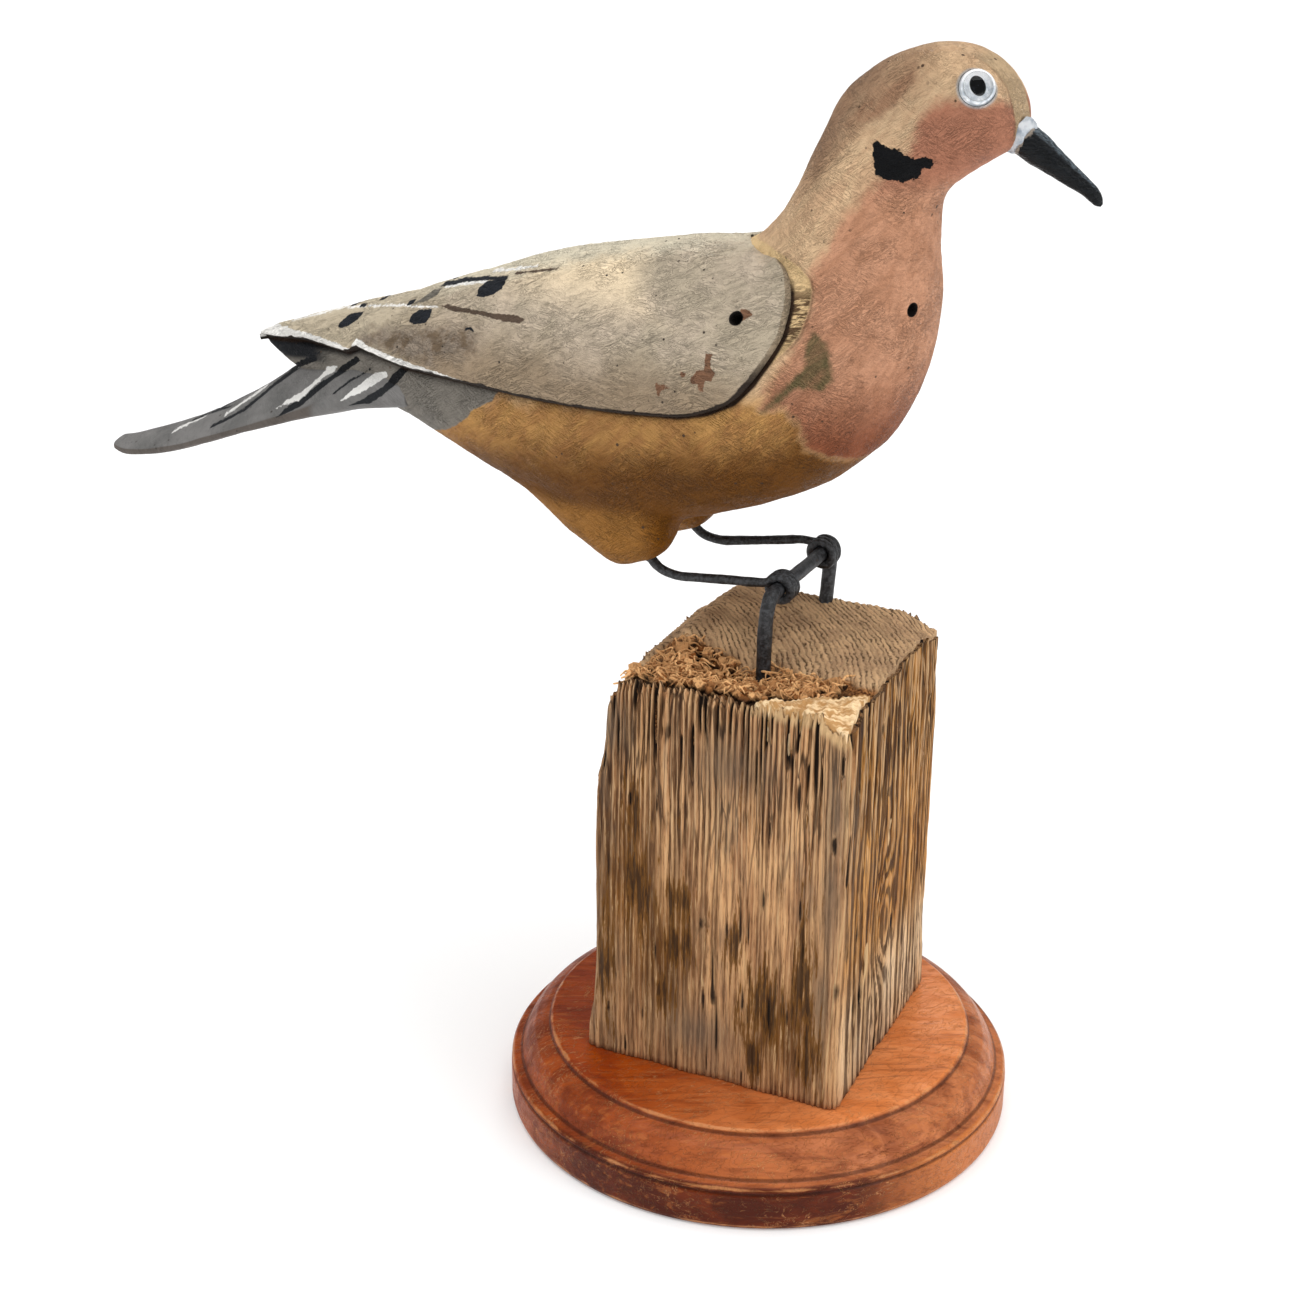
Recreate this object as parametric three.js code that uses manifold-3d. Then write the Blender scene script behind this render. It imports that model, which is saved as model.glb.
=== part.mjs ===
// A carved and painted wooden dove, a folk carving, standing on a bent wire perch
// driven into the end of a weathered post, which stands on a turned round plinth.
// Millimetres, +Z up, the bill towards +X, the bird's right side towards -Y.
// The origin is the centre of the plinth's underside.

import * as THREE from "three";
import { mergeVertices } from "three/addons/utils/BufferGeometryUtils.js";
import Module from "manifold-3d";

// Driving dimensions
const PLINTH_RADIUS = 76.2;
const PLINTH_FLAT_RADIUS = 63.2;
const PLINTH_HEIGHT = 25.4;
const PLINTH_SIDE_HEIGHT = 11.8;

const POST_WIDTH = 78.6;
const POST_DEPTH = 83;
const POST_LEAN = { left: -0.065, right: -0.043 }; // sideways drift of each face, by depth
const POST_TOP = 148.5;
const POST_SHIFT = { x: 2.4, y: 1.2 }; // the post's near face from the plinth's centre
const POST_CORNER = 3.5;
const FOOT_FLARE = 3; // the near left corner stands out at the foot
const EDGE_WEAR = 3.6; // and is worn back at the top
const FLUTE_DEPTH = 0.006; // depth of the weathered flutes as a share of the section

const BIRD_MIDDLE = 22.9; // the bird stands this far behind the plinth's centre
const LEG_SPREAD = 14.8; // each leg to the bird's middle plane
const LEG_WIRE = 2.8;
const PERCH_WIRE = 4.3;
const PERCH_X = 2;
const PERCH_HEIGHT = 165;
const PERCH_NEAR_POST = -7.7;
const PERCH_FAR_POST = 40.9;
const PERCH_FAR_LEAN = 2.6; // the far end goes in this much nearer than its bend

const EYE_DIAMETER = 10.2;
const GAP = 0.3; // between pieces that touch on the real object

// Ribs of the body from the rump to the face. Each stands between a point on the back and
// a point on the belly, both in the bird's middle plane:
// back x, back z, belly x, belly z, half width, egg, squareness
const BODY_RIBS = [
  [-182, 212.5, -180, 207.5, 1.2, 0, 2],
  [-166, 217, -163, 203.5, 7.5, 0, 2],
  [-147, 222.5, -142, 199, 15, 0, 2],
  [-127, 228, -123, 193, 22, 0, 2],
  [-104, 236, -100, 185, 28.5, 0.1, 2.05],
  [-80, 245, -76, 177.5, 32.8, 0.15, 2.1],
  [-57, 252.5, -52, 172.3, 35, 0.15, 2.1],
  [-36, 256.8, -27, 178, 35.6, 0.12, 2.1],
  [-22, 259.6, -4, 186.3, 35.5, 0.08, 2.1],
  [-14.5, 262.3, 12, 195.2, 34, 0, 2.1],
  [-9.5, 266.8, 25.5, 207.5, 31, 0, 2.1],
  [-5.5, 272, 33.5, 224.5, 28, 0, 2.1],
  [-1.2, 280, 37, 246, 24.5, 0, 2.15],
  [1.9, 288, 36.5, 264, 20.5, 0, 2.2],
  [5.6, 295.8, 37.5, 276.8, 17.5, 0, 2.3],
  [11.5, 305.8, 44, 283, 16, 0, 2.35],
  [22.8, 313.8, 50.5, 287.5, 15.8, 0, 2.4],
  [36.5, 318, 55, 290.5, 15.3, 0, 2.5],
  [48, 315.3, 58, 293, 13.2, 0, 2.5],
  [55.3, 309.3, 59.2, 297, 9, 0, 2.3],
  [58.2, 303.2, 58.6, 301.8, 0.5, 0, 2],
];

// Ribs of the folded wings' outer surface, in the same columns, from the tips forward.
const WING_RIBS = [
  [-187, 211.6, -186, 208.6, 1, 0, 2],
  [-180, 215, -177, 205.5, 4.5, 0, 2],
  [-166, 220.4, -162, 200, 10, 0, 2],
  [-148, 226.3, -143, 196, 17, 0, 2],
  [-128, 232.4, -122, 193, 24, 0, 2.05],
  [-105, 241, -99, 186, 30.5, 0.1, 2.1],
  [-80, 249.2, -76, 178, 35.5, 0.15, 2.1],
  [-57, 254.6, -51, 174, 38, 0.15, 2.1],
  [-36, 258.6, -26, 180, 38.5, 0.12, 2.1],
  [-20, 260.6, -3, 188, 38, 0.08, 2.1],
  [-9, 264.5, 15, 197, 36, 0, 2.1],
  [-2, 275, 30, 212, 32, 0, 2.1],
  [5, 286, 40, 240, 26, 0, 2.1],
];

// The wing's edge seen from the side, x and z: round the front, along the lower edge with
// the step between two rows of feathers, to the tip.
const WING_FRONT = [
  [-16, 263.5],
  [-2.3, 263.6],
  [4.6, 261.3],
  [7.6, 256],
  [8.3, 249.6],
  [7.1, 242.3],
  [3.3, 235.3],
  [-1.5, 228.6],
  [-7.6, 223],
  [-15.2, 219.3],
  [-23.1, 217.3],
  [-40, 216],
  [-66, 215.4],
  [-94, 215.8],
  [-118.6, 215.5],
];
const WING_STEP = [
  [-140, 217.3],
  [-145.4, 214.6],
  [-164.4, 214.4],
  [-190, 210.3],
];

const WING_SPAN = 120; // wider than both folded wings

// The hollow carved in front of the wing: x and z along its middle.
const HOLLOW_GOUGE = 5;
const HOLLOW_DEPTH = 1.9;
const HOLLOW_PATH = [
  // x, z and how far the gouge is lifted where its cut runs out
  [-3, 264.6, 2.6],
  [3, 262.6, 0.6],
  [8, 258, 0],
  [10.2, 251, 0],
  [9.4, 243.5, 0],
  [6, 236, 0],
  [0.5, 229, 0],
  [-6.5, 223.5, 0],
  [-15, 219, 0.6],
];

// Ribs of the tail: x, underside z, half width, thickness at the edge, thickness at the ridge
const TAIL_SQUARENESS = 3.4;
const TAIL_RIDGE_POWER = 1.25;
const TAIL_RIBS = [
  [-246.3, 166, 3.5, 1.6, 2],
  [-244.5, 165.3, 6, 3, 4.2],
  [-238, 165, 8.5, 3.6, 6.2],
  [-226, 167.6, 11.5, 3.8, 8],
  [-212, 172, 14.5, 4, 9],
  [-198, 177.4, 17, 4.2, 10.8],
  [-186, 182, 19, 4.4, 13.2],
  [-172, 187, 20.5, 5, 17],
  [-156, 192, 21.5, 7, 20],
  [-138, 197, 22.5, 10, 22],
  [-120, 200, 23, 14, 22],
];

// Ribs of a thigh stub: x, underside z, top z, half width
const THIGH_RIBS = [
  [-100, 190, 200, 6],
  [-88, 184.6, 205, 10],
  [-79, 180.2, 205, 11.5],
  [-71.5, 174.2, 205, 11.5],
  [-64, 168.8, 204, 11],
  [-56, 163.4, 202, 10],
  [-51, 161.8, 200, 9.4],
  [-46, 163, 197, 8.8],
  [-40, 165.6, 194, 8.2],
  [-35.5, 170, 186, 7],
  [-34, 176, 180, 4],
];

// The bill grows from a flat root on the face along its own axis, turned down from +X.
const BILL_ROOT = new THREE.Vector3(59.7, BIRD_MIDDLE, 293.5);
const BILL_TURN = THREE.MathUtils.degToRad(32.8);
// Along the axis, top edge, bottom edge, half width
const BILL_RIBS = [
  [-0.5, 5.2, -3.6, 3.9],
  [4.5, 5, -3.3, 3.6],
  [9, 4.4, -2.6, 3.1],
  [14, 3.7, -2, 2.6],
  [19, 3.2, -1.3, 2.1],
  [22.5, 2.7, -1.2, 1.8],
  [24.8, 1.6, -1.2, 1.3],
  [26, 0.3, -0.6, 0.5],
];

// The eyes aren't quite alike: the left one sits further back on the head.
const EYES = {
  right: { at: [50.1, 12.8, 309.3], facing: [0.4, 0.84, 0.36] }, // x, out from the middle, z
  left: { at: [45.2, 14.8, 307.6], facing: [0.17, 0.95, 0.23] },
};
const HOLES = [
  // x, distance from the middle plane, z, facing, diameter
  { at: [-8.4, 32, 245.8], facing: [-0.15, 0.9, 0.4], diameter: 3.8 },
  { at: [35.1, 11.6, 248.4], facing: [0.85, 0.5, -0.03], diameter: 3.6 },
];

const wasm = await Module();
wasm.setup();

// Geometry and solids

// Uniform Catmull-Rom curve through rows of numbers, at t from 0 to 1.
function blendRows(rows, t) {
  const at = t * (rows.length - 1);
  const i = Math.min(Math.floor(at), rows.length - 1);
  const w = at - i;
  const row = (k) => rows[THREE.MathUtils.clamp(k, 0, rows.length - 1)];
  const [before, from, to, after] = [row(i - 1), row(i), row(i + 1), row(i + 2)];
  return from.map((b, k) => {
    const enter = (to[k] - before[k]) / 2;
    const leave = (after[k] - b) / 2;
    const cubic = 2 * b - 2 * to[k] + enter + leave;
    const square = -3 * b + 3 * to[k] - 2 * enter - leave;
    return ((cubic * w + square) * w + enter) * w + b;
  });
}

// Point of a superellipse at an angle, 0 at the top: [across, up], each from -1 to 1.
function superellipse(angle, squareness) {
  const power = 2 / squareness;
  const s = Math.sin(angle);
  const c = Math.cos(angle);
  return [Math.sign(s) * Math.abs(s) ** power, Math.sign(c) * Math.abs(c) ** power];
}

// One closed surface through rings of points, all with the same count, capped by fans.
function skin(rings) {
  const around = rings[0].length;
  const position = rings.flat().flatMap((p) => [p.x, p.y, p.z]);
  const index = [];
  for (let i = 0; i + 1 < rings.length; i++)
    for (let j = 0; j < around; j++) {
      const a = i * around + j;
      const b = i * around + ((j + 1) % around);
      index.push(a, b, b + around, a, b + around, a + around);
    }
  for (const [ring, start] of [
    [rings[0], 0],
    [rings.at(-1), (rings.length - 1) * around],
  ]) {
    const middle = ring.reduce((sum, p) => sum.add(p), new THREE.Vector3());
    middle.divideScalar(around);
    const centre = position.length / 3;
    position.push(middle.x, middle.y, middle.z);
    for (let j = 0; j < around; j++) {
      const next = start + ((j + 1) % around);
      if (start) index.push(centre, start + j, next);
      else index.push(centre, next, start + j);
    }
  }
  const geometry = new THREE.BufferGeometry();
  geometry.setAttribute("position", new THREE.Float32BufferAttribute(position, 3));
  geometry.setIndex(index);
  return geometry;
}

// Rings of a surface: steps along by points around, from a function of t and an angle.
function rings(along, around, point) {
  return Array.from({ length: along + 1 }, (_, i) =>
    Array.from({ length: around }, (_, j) => point(i / along, (j / around) * 2 * Math.PI)),
  );
}

// A closed geometry as a solid, turned the right way out.
function solid(geometry) {
  const bare = geometry.index ? geometry.toNonIndexed() : geometry.clone();
  bare.deleteAttribute("normal");
  bare.deleteAttribute("uv");
  const merged = mergeVertices(bare, 1e-3);
  const triVerts = new Uint32Array(merged.index.array);
  const vertProperties = new Float32Array(merged.attributes.position.array);
  const made = new wasm.Manifold(new wasm.Mesh({ numProp: 3, vertProperties, triVerts }));
  if (made.volume() > 0) return made;
  for (let i = 0; i < triVerts.length; i += 3)
    [triVerts[i + 1], triVerts[i + 2]] = [triVerts[i + 2], triVerts[i + 1]];
  return new wasm.Manifold(new wasm.Mesh({ numProp: 3, vertProperties, triVerts }));
}

// A solid back as a geometry.
function shape(made) {
  const mesh = made.getMesh();
  const geometry = new THREE.BufferGeometry();
  const count = mesh.numVert * 3;
  const position = new Float32Array(mesh.vertProperties.subarray(0, count));
  geometry.setAttribute("position", new THREE.BufferAttribute(position, 3));
  geometry.setIndex(new THREE.BufferAttribute(mesh.triVerts, 1));
  const faceted = geometry.toNonIndexed();
  faceted.computeVertexNormals();
  return faceted;
}

// A cylinder from one point to another.
function rod(from, to, radius, sides) {
  const axis = to.clone().sub(from);
  const geometry = new THREE.CylinderGeometry(radius, radius, axis.length(), sides);
  const up = new THREE.Vector3(0, 1, 0);
  const turn = new THREE.Quaternion().setFromUnitVectors(up, axis.clone().normalize());
  geometry.applyQuaternion(turn);
  geometry.translate(...from.clone().add(to).divideScalar(2).toArray());
  return solid(geometry);
}

// The bird's two sides: -1 is its right, +1 its left.
const SIDES = { right: -1, left: 1 };

// A place given as x, distance from the bird's middle plane, z, on one side.
function onSide([x, out, z], side) {
  return new THREE.Vector3(x, BIRD_MIDDLE + side * out, z);
}

// A direction given as x, outwards and z, on one side of the bird.
function onSideWay([x, out, z], side) {
  return new THREE.Vector3(x, side * out, z).normalize();
}

// The carved and painted bird

// Surface through body or wing ribs: each rib is a superellipse between its back and
// belly points, and egg makes it wider towards the belly.
function ribSurface(ribs, along, around) {
  return solid(
    skin(
      rings(along, around, (t, angle) => {
        const [backX, backZ, bellyX, bellyZ, width, egg, squareness] = blendRows(ribs, t);
        const [across, up] = superellipse(angle, squareness);
        return new THREE.Vector3(
          (backX + bellyX) / 2 + ((backX - bellyX) / 2) * up,
          BIRD_MIDDLE + width * across * (1 - egg * up),
          (backZ + bellyZ) / 2 + ((backZ - bellyZ) / 2) * up,
        );
      }),
    ),
  );
}

// Both folded wings: their outer surface, kept only above the wings' edge.
function wings() {
  const above = 300;
  const [front] = WING_FRONT;
  const tip = WING_STEP.at(-1);
  const edge = new THREE.Shape();
  edge.moveTo(front[0], above);
  edge.lineTo(...front);
  edge.splineThru(WING_FRONT.slice(1).map(([x, z]) => new THREE.Vector2(x, z)));
  for (const [x, z] of WING_STEP) edge.lineTo(x, z);
  edge.lineTo(tip[0], above);
  const cutter = new THREE.ExtrudeGeometry(edge, {
    depth: WING_SPAN,
    bevelEnabled: false,
    curveSegments: 2,
  });
  cutter.rotateX(Math.PI / 2);
  cutter.translate(0, BIRD_MIDDLE + WING_SPAN / 2, 0);
  return ribSurface(WING_RIBS, 24, 28).intersect(solid(cutter));
}

// The tail: flat below, a roof with a ridge above, blunt at its end.
function tail() {
  return solid(
    skin(
      rings(12, 16, (t, angle) => {
        const [x, under, width, edge, ridge] = blendRows(TAIL_RIBS, t);
        const [across, up] = superellipse(angle, TAIL_SQUARENESS);
        const thick = edge + (ridge - edge) * (1 - Math.abs(across) ** TAIL_RIDGE_POWER);
        return new THREE.Vector3(
          x,
          BIRD_MIDDLE + width * across,
          under + (thick * (1 + up)) / 2,
        );
      }),
    ),
  );
}

function thigh(side) {
  return solid(
    skin(
      rings(10, 12, (t, angle) => {
        const [x, under, top, width] = blendRows(THIGH_RIBS, t);
        const [across, up] = superellipse(angle, 2.2);
        return new THREE.Vector3(
          x,
          BIRD_MIDDLE + side * LEG_SPREAD + width * across,
          (under + top) / 2 + ((top - under) / 2) * up,
        );
      }),
    ),
  );
}

// The hollow in front of a wing: a round gouge run along the body's surface.
function hollow(body, side) {
  const points = HOLLOW_PATH.map(([x, z, lift]) => {
    const out = bodyHalfWidth(body, x, z) + HOLLOW_GOUGE - HOLLOW_DEPTH + lift;
    return onSide([x, out, z], side);
  });
  const path = new THREE.CatmullRomCurve3(points);
  const section = new THREE.Shape().absarc(0, 0, HOLLOW_GOUGE, 0, 2 * Math.PI);
  const tube = new THREE.ExtrudeGeometry(section, {
    steps: 14,
    curveSegments: 7,
    bevelEnabled: false,
    extrudePath: path,
  });
  return solid(tube);
}

// How far the body reaches from its middle plane at one place seen from the side.
function bodyHalfWidth(body, x, z) {
  const probe = rod(
    new THREE.Vector3(x, BIRD_MIDDLE, z),
    new THREE.Vector3(x, BIRD_MIDDLE + WING_SPAN / 2, z),
    0.5,
    6,
  );
  return body.intersect(probe).boundingBox().max[1] - BIRD_MIDDLE;
}

// Leg wires: each leaves the thigh, runs level to the perch and is wound round it.
// x, z and how far it has swung from the leg's plane to the plane of its coil
const LEG_ROUTE = [
  [-45.5, 172.5, 0],
  [-43.8, 168.4, 0],
  [-42, 165, 0],
  [-38.6, 162.1, 0.05],
  [-33, 161, 0.15],
  [-25, 162.1, 0.35],
  [-12.4, 164.3, 0.7],
  [-6.2, 165.4, 0.92],
];
const LEG_LIFT = { right: 0.4, left: 1.4 }; // the two legs aren't quite alike
const COIL_MIDDLE = { right: 3.9, left: 35.6 };
const COIL_TURNS = 2.5;
const COIL_PITCH = 1.7;
const COIL_START = THREE.MathUtils.degToRad(148);
const COIL_WIRE = 1.4; // the wire is drawn thin along the perch, where it is wound
const COIL_POINTS = 12; // points of the path in one turn

function legPath(name) {
  const middle = BIRD_MIDDLE + SIDES[name] * LEG_SPREAD;
  const inward = -SIDES[name];
  const start = COIL_MIDDLE[name] - (inward * COIL_TURNS * COIL_PITCH) / 2;
  const radius = (PERCH_WIRE + LEG_WIRE) / 2 + GAP;
  const coil = Array.from({ length: COIL_POINTS * COIL_TURNS + 1 }, (_, i) => {
    const turns = i / COIL_POINTS;
    const turned = COIL_START - turns * 2 * Math.PI;
    return new THREE.Vector3(
      PERCH_X + radius * Math.cos(turned),
      start + inward * turns * COIL_PITCH,
      PERCH_HEIGHT + radius * Math.sin(turned),
    );
  });
  const route = LEG_ROUTE.map(([x, z, swung]) => {
    const y = THREE.MathUtils.lerp(middle, start, swung);
    return new THREE.Vector3(x, y, z + LEG_LIFT[name]);
  });
  return { route, coil };
}

// The wire is round along the leg and flattened in the coil, so each ring of its skin
// has a half width along the perch and a half height across it.
function legWire(name, grow = 0) {
  const { route, coil } = legPath(name);
  const path = new THREE.CatmullRomCurve3([...route, ...coil], false, "centripetal");
  const around = 7;
  const steps = 56;
  const coilShare = coil.length / (route.length + coil.length - 1);
  const perch = new THREE.Vector3(0, 1, 0);
  const rows = Array.from({ length: steps + 1 }, (_, i) => {
    const t = i / steps;
    const at = path.getPoint(t);
    const along = path.getTangent(t);
    const wide = perch.clone().addScaledVector(along, -perch.dot(along)).normalize();
    const high = new THREE.Vector3().crossVectors(along, wide);
    const flat = THREE.MathUtils.smoothstep(t, 1 - coilShare, 1 - 0.8 * coilShare);
    const root = 1 - THREE.MathUtils.smoothstep(t, 0.03, 0.075);
    const height = LEG_WIRE / 2 + grow + root;
    const width = THREE.MathUtils.lerp(LEG_WIRE, COIL_WIRE, flat) / 2 + grow + root;
    return Array.from({ length: around }, (_, j) => {
      const angle = (j / around) * 2 * Math.PI;
      return at
        .clone()
        .addScaledVector(wide, width * Math.cos(angle))
        .addScaledVector(high, height * Math.sin(angle));
    });
  });
  return solid(skin(rows));
}

// The perch: one thick wire bent to a staple, its two ends driven into the post.
const PERCH_ROUTE = [
  [PERCH_NEAR_POST, 131],
  [PERCH_NEAR_POST, 140],
  [PERCH_NEAR_POST + 0.1, 150],
  [PERCH_NEAR_POST + 0.6, 156.5],
  [PERCH_NEAR_POST + 1.4, 160.4],
  [PERCH_NEAR_POST + 2.8, 163.1],
  [PERCH_NEAR_POST + 5, 164.7],
  [PERCH_NEAR_POST + 8, PERCH_HEIGHT],
  [PERCH_FAR_POST - 16, PERCH_HEIGHT],
  [PERCH_FAR_POST - 3.6, PERCH_HEIGHT],
  [PERCH_FAR_POST - 0.9, PERCH_HEIGHT - 1.2],
  [PERCH_FAR_POST, PERCH_HEIGHT - 4],
  [PERCH_FAR_POST - PERCH_FAR_LEAN / 2, 152.5],
  [PERCH_FAR_POST - PERCH_FAR_LEAN, 146],
  [PERCH_FAR_POST - PERCH_FAR_LEAN, 134],
];

function perch(grow = 0) {
  const points = PERCH_ROUTE.map(([y, z]) => new THREE.Vector3(PERCH_X, y, z));
  const path = new THREE.CatmullRomCurve3(points, false, "centripetal");
  const section = new THREE.Shape().absarc(0, 0, PERCH_WIRE / 2 + grow, 0, 2 * Math.PI);
  return solid(
    new THREE.ExtrudeGeometry(section, {
      steps: 30,
      curveSegments: 4,
      bevelEnabled: false,
      extrudePath: path,
    }),
  );
}

// The weathered post end

// Height of the post's top over a place on it: it drops towards the left face, is rotted
// out round the near end of the perch, and its two right corners are worn down.
const LEFT_DROP = 12;
const ROT = { depth: 8, x: -5, y: -12, reachX: 22, reachY: 15 };
const CORNER_WEAR = 5;
const RIM_DROP = 1.2; // the top's edge lies this much below the surface inside it

function postTop(x, y) {
  const { smoothstep } = THREE.MathUtils;
  const left = LEFT_DROP * (1 - smoothstep(x, -44, -24));
  const rotShare = Math.exp(-(((x - ROT.x) / ROT.reachX) ** 2) - ((y - ROT.y) / ROT.reachY) ** 2);
  const backRight = smoothstep(x, 24, 40) * smoothstep(y, 20, 42);
  const nearRight = smoothstep(x, 30, 42) * (1 - smoothstep(y, -40, -28));
  const worn = left + ROT.depth * rotShare + CORNER_WEAR * (backRight + nearRight);
  return POST_TOP - worn;
}

// The post's section at a share of its height: four faces with rounded corners, the near
// left corner flared at the foot, and shallow flutes where soft grain has weathered away.
function postOutline(count, height) {
  const [w, d, r] = [POST_WIDTH / 2, POST_DEPTH / 2, POST_CORNER];
  const path = new THREE.Path();
  path.moveTo(-w + r, -d);
  path.lineTo(w - r, -d);
  path.quadraticCurveTo(w, -d, w, -d + r);
  path.lineTo(w, d - r);
  path.quadraticCurveTo(w, d, w - r, d);
  path.lineTo(-w + r, d);
  path.quadraticCurveTo(-w, d, -w, d - r);
  path.lineTo(-w, -d + r);
  path.quadraticCurveTo(-w, -d, -w + r, -d);
  const foot = FOOT_FLARE * (1 - THREE.MathUtils.smoothstep(height, 0, 0.25));
  const worn = 0.9 + EDGE_WEAR * THREE.MathUtils.smoothstep(height, 0.72, 1);
  return path.getSpacedPoints(count).slice(0, count).map((p, i) => {
    const near = Math.exp(-(((p.x + w) / 8) ** 2) - ((p.y + d) / 14) ** 2);
    const flute = 1 - FLUTE_DEPTH * (i % 2);
    const lean = THREE.MathUtils.lerp(POST_LEAN.left, POST_LEAN.right, (p.x + w) / (2 * w));
    return new THREE.Vector2(
      p.x * flute + lean * (p.y + d) + POST_SHIFT.x + (worn - foot) * near,
      p.y * flute + POST_SHIFT.y,
    );
  });
}

function post(foot) {
  const around = 60;
  const levels = 4;
  const inward = [0.985, 0.92, 0.76, 0.58, 0.4, 0.22];
  const rows = [];
  for (let i = 0; i <= levels; i++) {
    const share = i / levels;
    rows.push(
      postOutline(around, share).map(({ x, y }) => {
        const top = postTop(x, y) - RIM_DROP;
        return new THREE.Vector3(x, y, foot + share * (top - foot));
      }),
    );
  }
  for (const scale of inward)
    rows.push(
      postOutline(around, 1).map(({ x, y }) => {
        const [u, v] = [x * scale, y * scale];
        return new THREE.Vector3(u, v, postTop(u, v));
      }),
    );
  return solid(skin(rows));
}

// The turned plinth: a flat top, a small step, an ogee, a bead and an upright side.
function plinth() {
  const [r, h] = [PLINTH_RADIUS, PLINTH_HEIGHT];
  const flat = PLINTH_FLAT_RADIUS;
  const side = PLINTH_SIDE_HEIGHT;
  const profile = [
    [0, 0],
    [r - 1.6, 0],
    [r - 0.4, 0.5],
    [r, 1.7],
    [r, side - 0.7],
    [r - 0.6, side],
    [r - 0.1, side + 0.9],
    [r - 0.9, side + 2],
    [r - 2.9, side + 2.4],
    [r - 3.5, side + 3.2],
    [r - 4.2, side + 5],
    [r - 5.4, side + 7.4],
    [r - 7.4, side + 9.8],
    [flat + 3, side + 11.2],
    [flat + 1.2, side + 11.7],
    [flat + 0.9, h - 0.7],
    [flat, h],
    [0, h],
  ];
  const points = profile.map(([x, z]) => new THREE.Vector2(x, z));
  const geometry = new THREE.LatheGeometry(points, 44);
  geometry.rotateX(Math.PI / 2);
  return solid(geometry);
}

// The bill and the bead of glue that holds it

function billPlace(geometry) {
  geometry.rotateY(BILL_TURN);
  geometry.translate(...BILL_ROOT.toArray());
  return solid(geometry);
}

function bill(grow = 0) {
  return billPlace(
    skin(
      rings(10, 12, (t, angle) => {
        const [along, top, bottom, width] = blendRows(BILL_RIBS, t);
        const [across, up] = superellipse(angle, 2.2);
        return new THREE.Vector3(
          along - grow,
          (width + grow) * across,
          (top + bottom) / 2 + ((top - bottom) / 2 + grow) * up,
        );
      }),
    ),
  );
}

function glueBead() {
  const profile = [
    [0, -6],
    [4.6, -6],
    [5.5, -4],
    [5.7, -2.4],
    [5.2, -0.8],
    [4.3, 0.7],
    [0, 0.7],
  ];
  const points = profile.map(([x, z]) => new THREE.Vector2(x, z));
  const geometry = new THREE.LatheGeometry(points, 16);
  geometry.rotateX(Math.PI / 2);
  geometry.rotateY(Math.PI / 2);
  geometry.scale(1, 0.86, 1);
  geometry.translate(0, 0, 0.8);
  return billPlace(geometry);
}

// A glass eye: a low dome with a short side, set on its seat and facing outwards.
function eye(name) {
  const radius = EYE_DIAMETER / 2;
  const profile = [
    [0, -1],
    [radius - 0.3, -1],
    [radius, -0.6],
    [radius, 0],
    [radius - 0.5, 0.9],
    [radius - 1.9, 1.8],
    [radius - 3.4, 2.3],
    [0, 2.5],
  ];
  const points = profile.map(([x, z]) => new THREE.Vector2(x, z));
  const geometry = new THREE.LatheGeometry(points, 18);
  const { at, facing: way } = EYES[name];
  const facing = onSideWay(way, SIDES[name]);
  const up = new THREE.Vector3(0, 1, 0);
  geometry.applyQuaternion(new THREE.Quaternion().setFromUnitVectors(up, facing));
  geometry.translate(...onSide(at, SIDES[name]).toArray());
  return solid(geometry);
}

// A round hole or seat that faces outwards on one side of the bird.
function drilled({ at, facing, diameter }, depth, side) {
  const proud = 6;
  const direction = onSideWay(facing, side);
  const mouth = onSide(at, side);
  const from = mouth.clone().addScaledVector(direction, -depth);
  const to = mouth.clone().addScaledVector(direction, proud);
  return rod(from, to, diameter / 2, 14);
}

function bird() {
  let body = ribSurface(BODY_RIBS, 38, 26);
  for (const side of Object.values(SIDES)) body = body.subtract(hollow(body, side));
  body = body.add(wings()).add(tail());
  for (const [name, side] of Object.entries(SIDES)) {
    body = body.add(thigh(side)).subtract(legWire(name, GAP));
    const seat = { ...EYES[name], diameter: EYE_DIAMETER + 2 * GAP };
    body = body.subtract(drilled(seat, 1 + GAP, side));
  }
  for (const hole of HOLES) body = body.subtract(drilled(hole, 12, SIDES.right));
  return body;
}

// Materials, by the finish of each piece
const MATERIALS = {
  painted: new THREE.MeshStandardMaterial({ color: 0xb59a7c, roughness: 0.75 }),
  bill: new THREE.MeshStandardMaterial({ color: 0x23282c, roughness: 0.45 }),
  glue: new THREE.MeshStandardMaterial({ color: 0xc9cdd0, roughness: 0.2 }),
  eye: new THREE.MeshStandardMaterial({ color: 0xd8dee2, roughness: 0.05 }),
  wire: new THREE.MeshStandardMaterial({ color: 0x1d1d20, roughness: 0.5 }),
  post: new THREE.MeshStandardMaterial({ color: 0x9a774f, roughness: 0.9 }),
  plinth: new THREE.MeshStandardMaterial({ color: 0x8a4526, roughness: 0.35 }),
};

const dove = new THREE.Group();

function addPiece(name, made, material) {
  const mesh = new THREE.Mesh(shape(made), MATERIALS[material]);
  mesh.name = name;
  dove.add(mesh);
}

const body = bird();
const clearOfBill = new THREE.Vector3(GAP, 0, 0).applyAxisAngle(
  new THREE.Vector3(0, 1, 0),
  BILL_TURN,
);
const bead = glueBead()
  .subtract(body.translate(clearOfBill.toArray()))
  .subtract(bill(GAP));
const postSolid = post(PLINTH_HEIGHT + GAP).subtract(perch(GAP));

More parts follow.
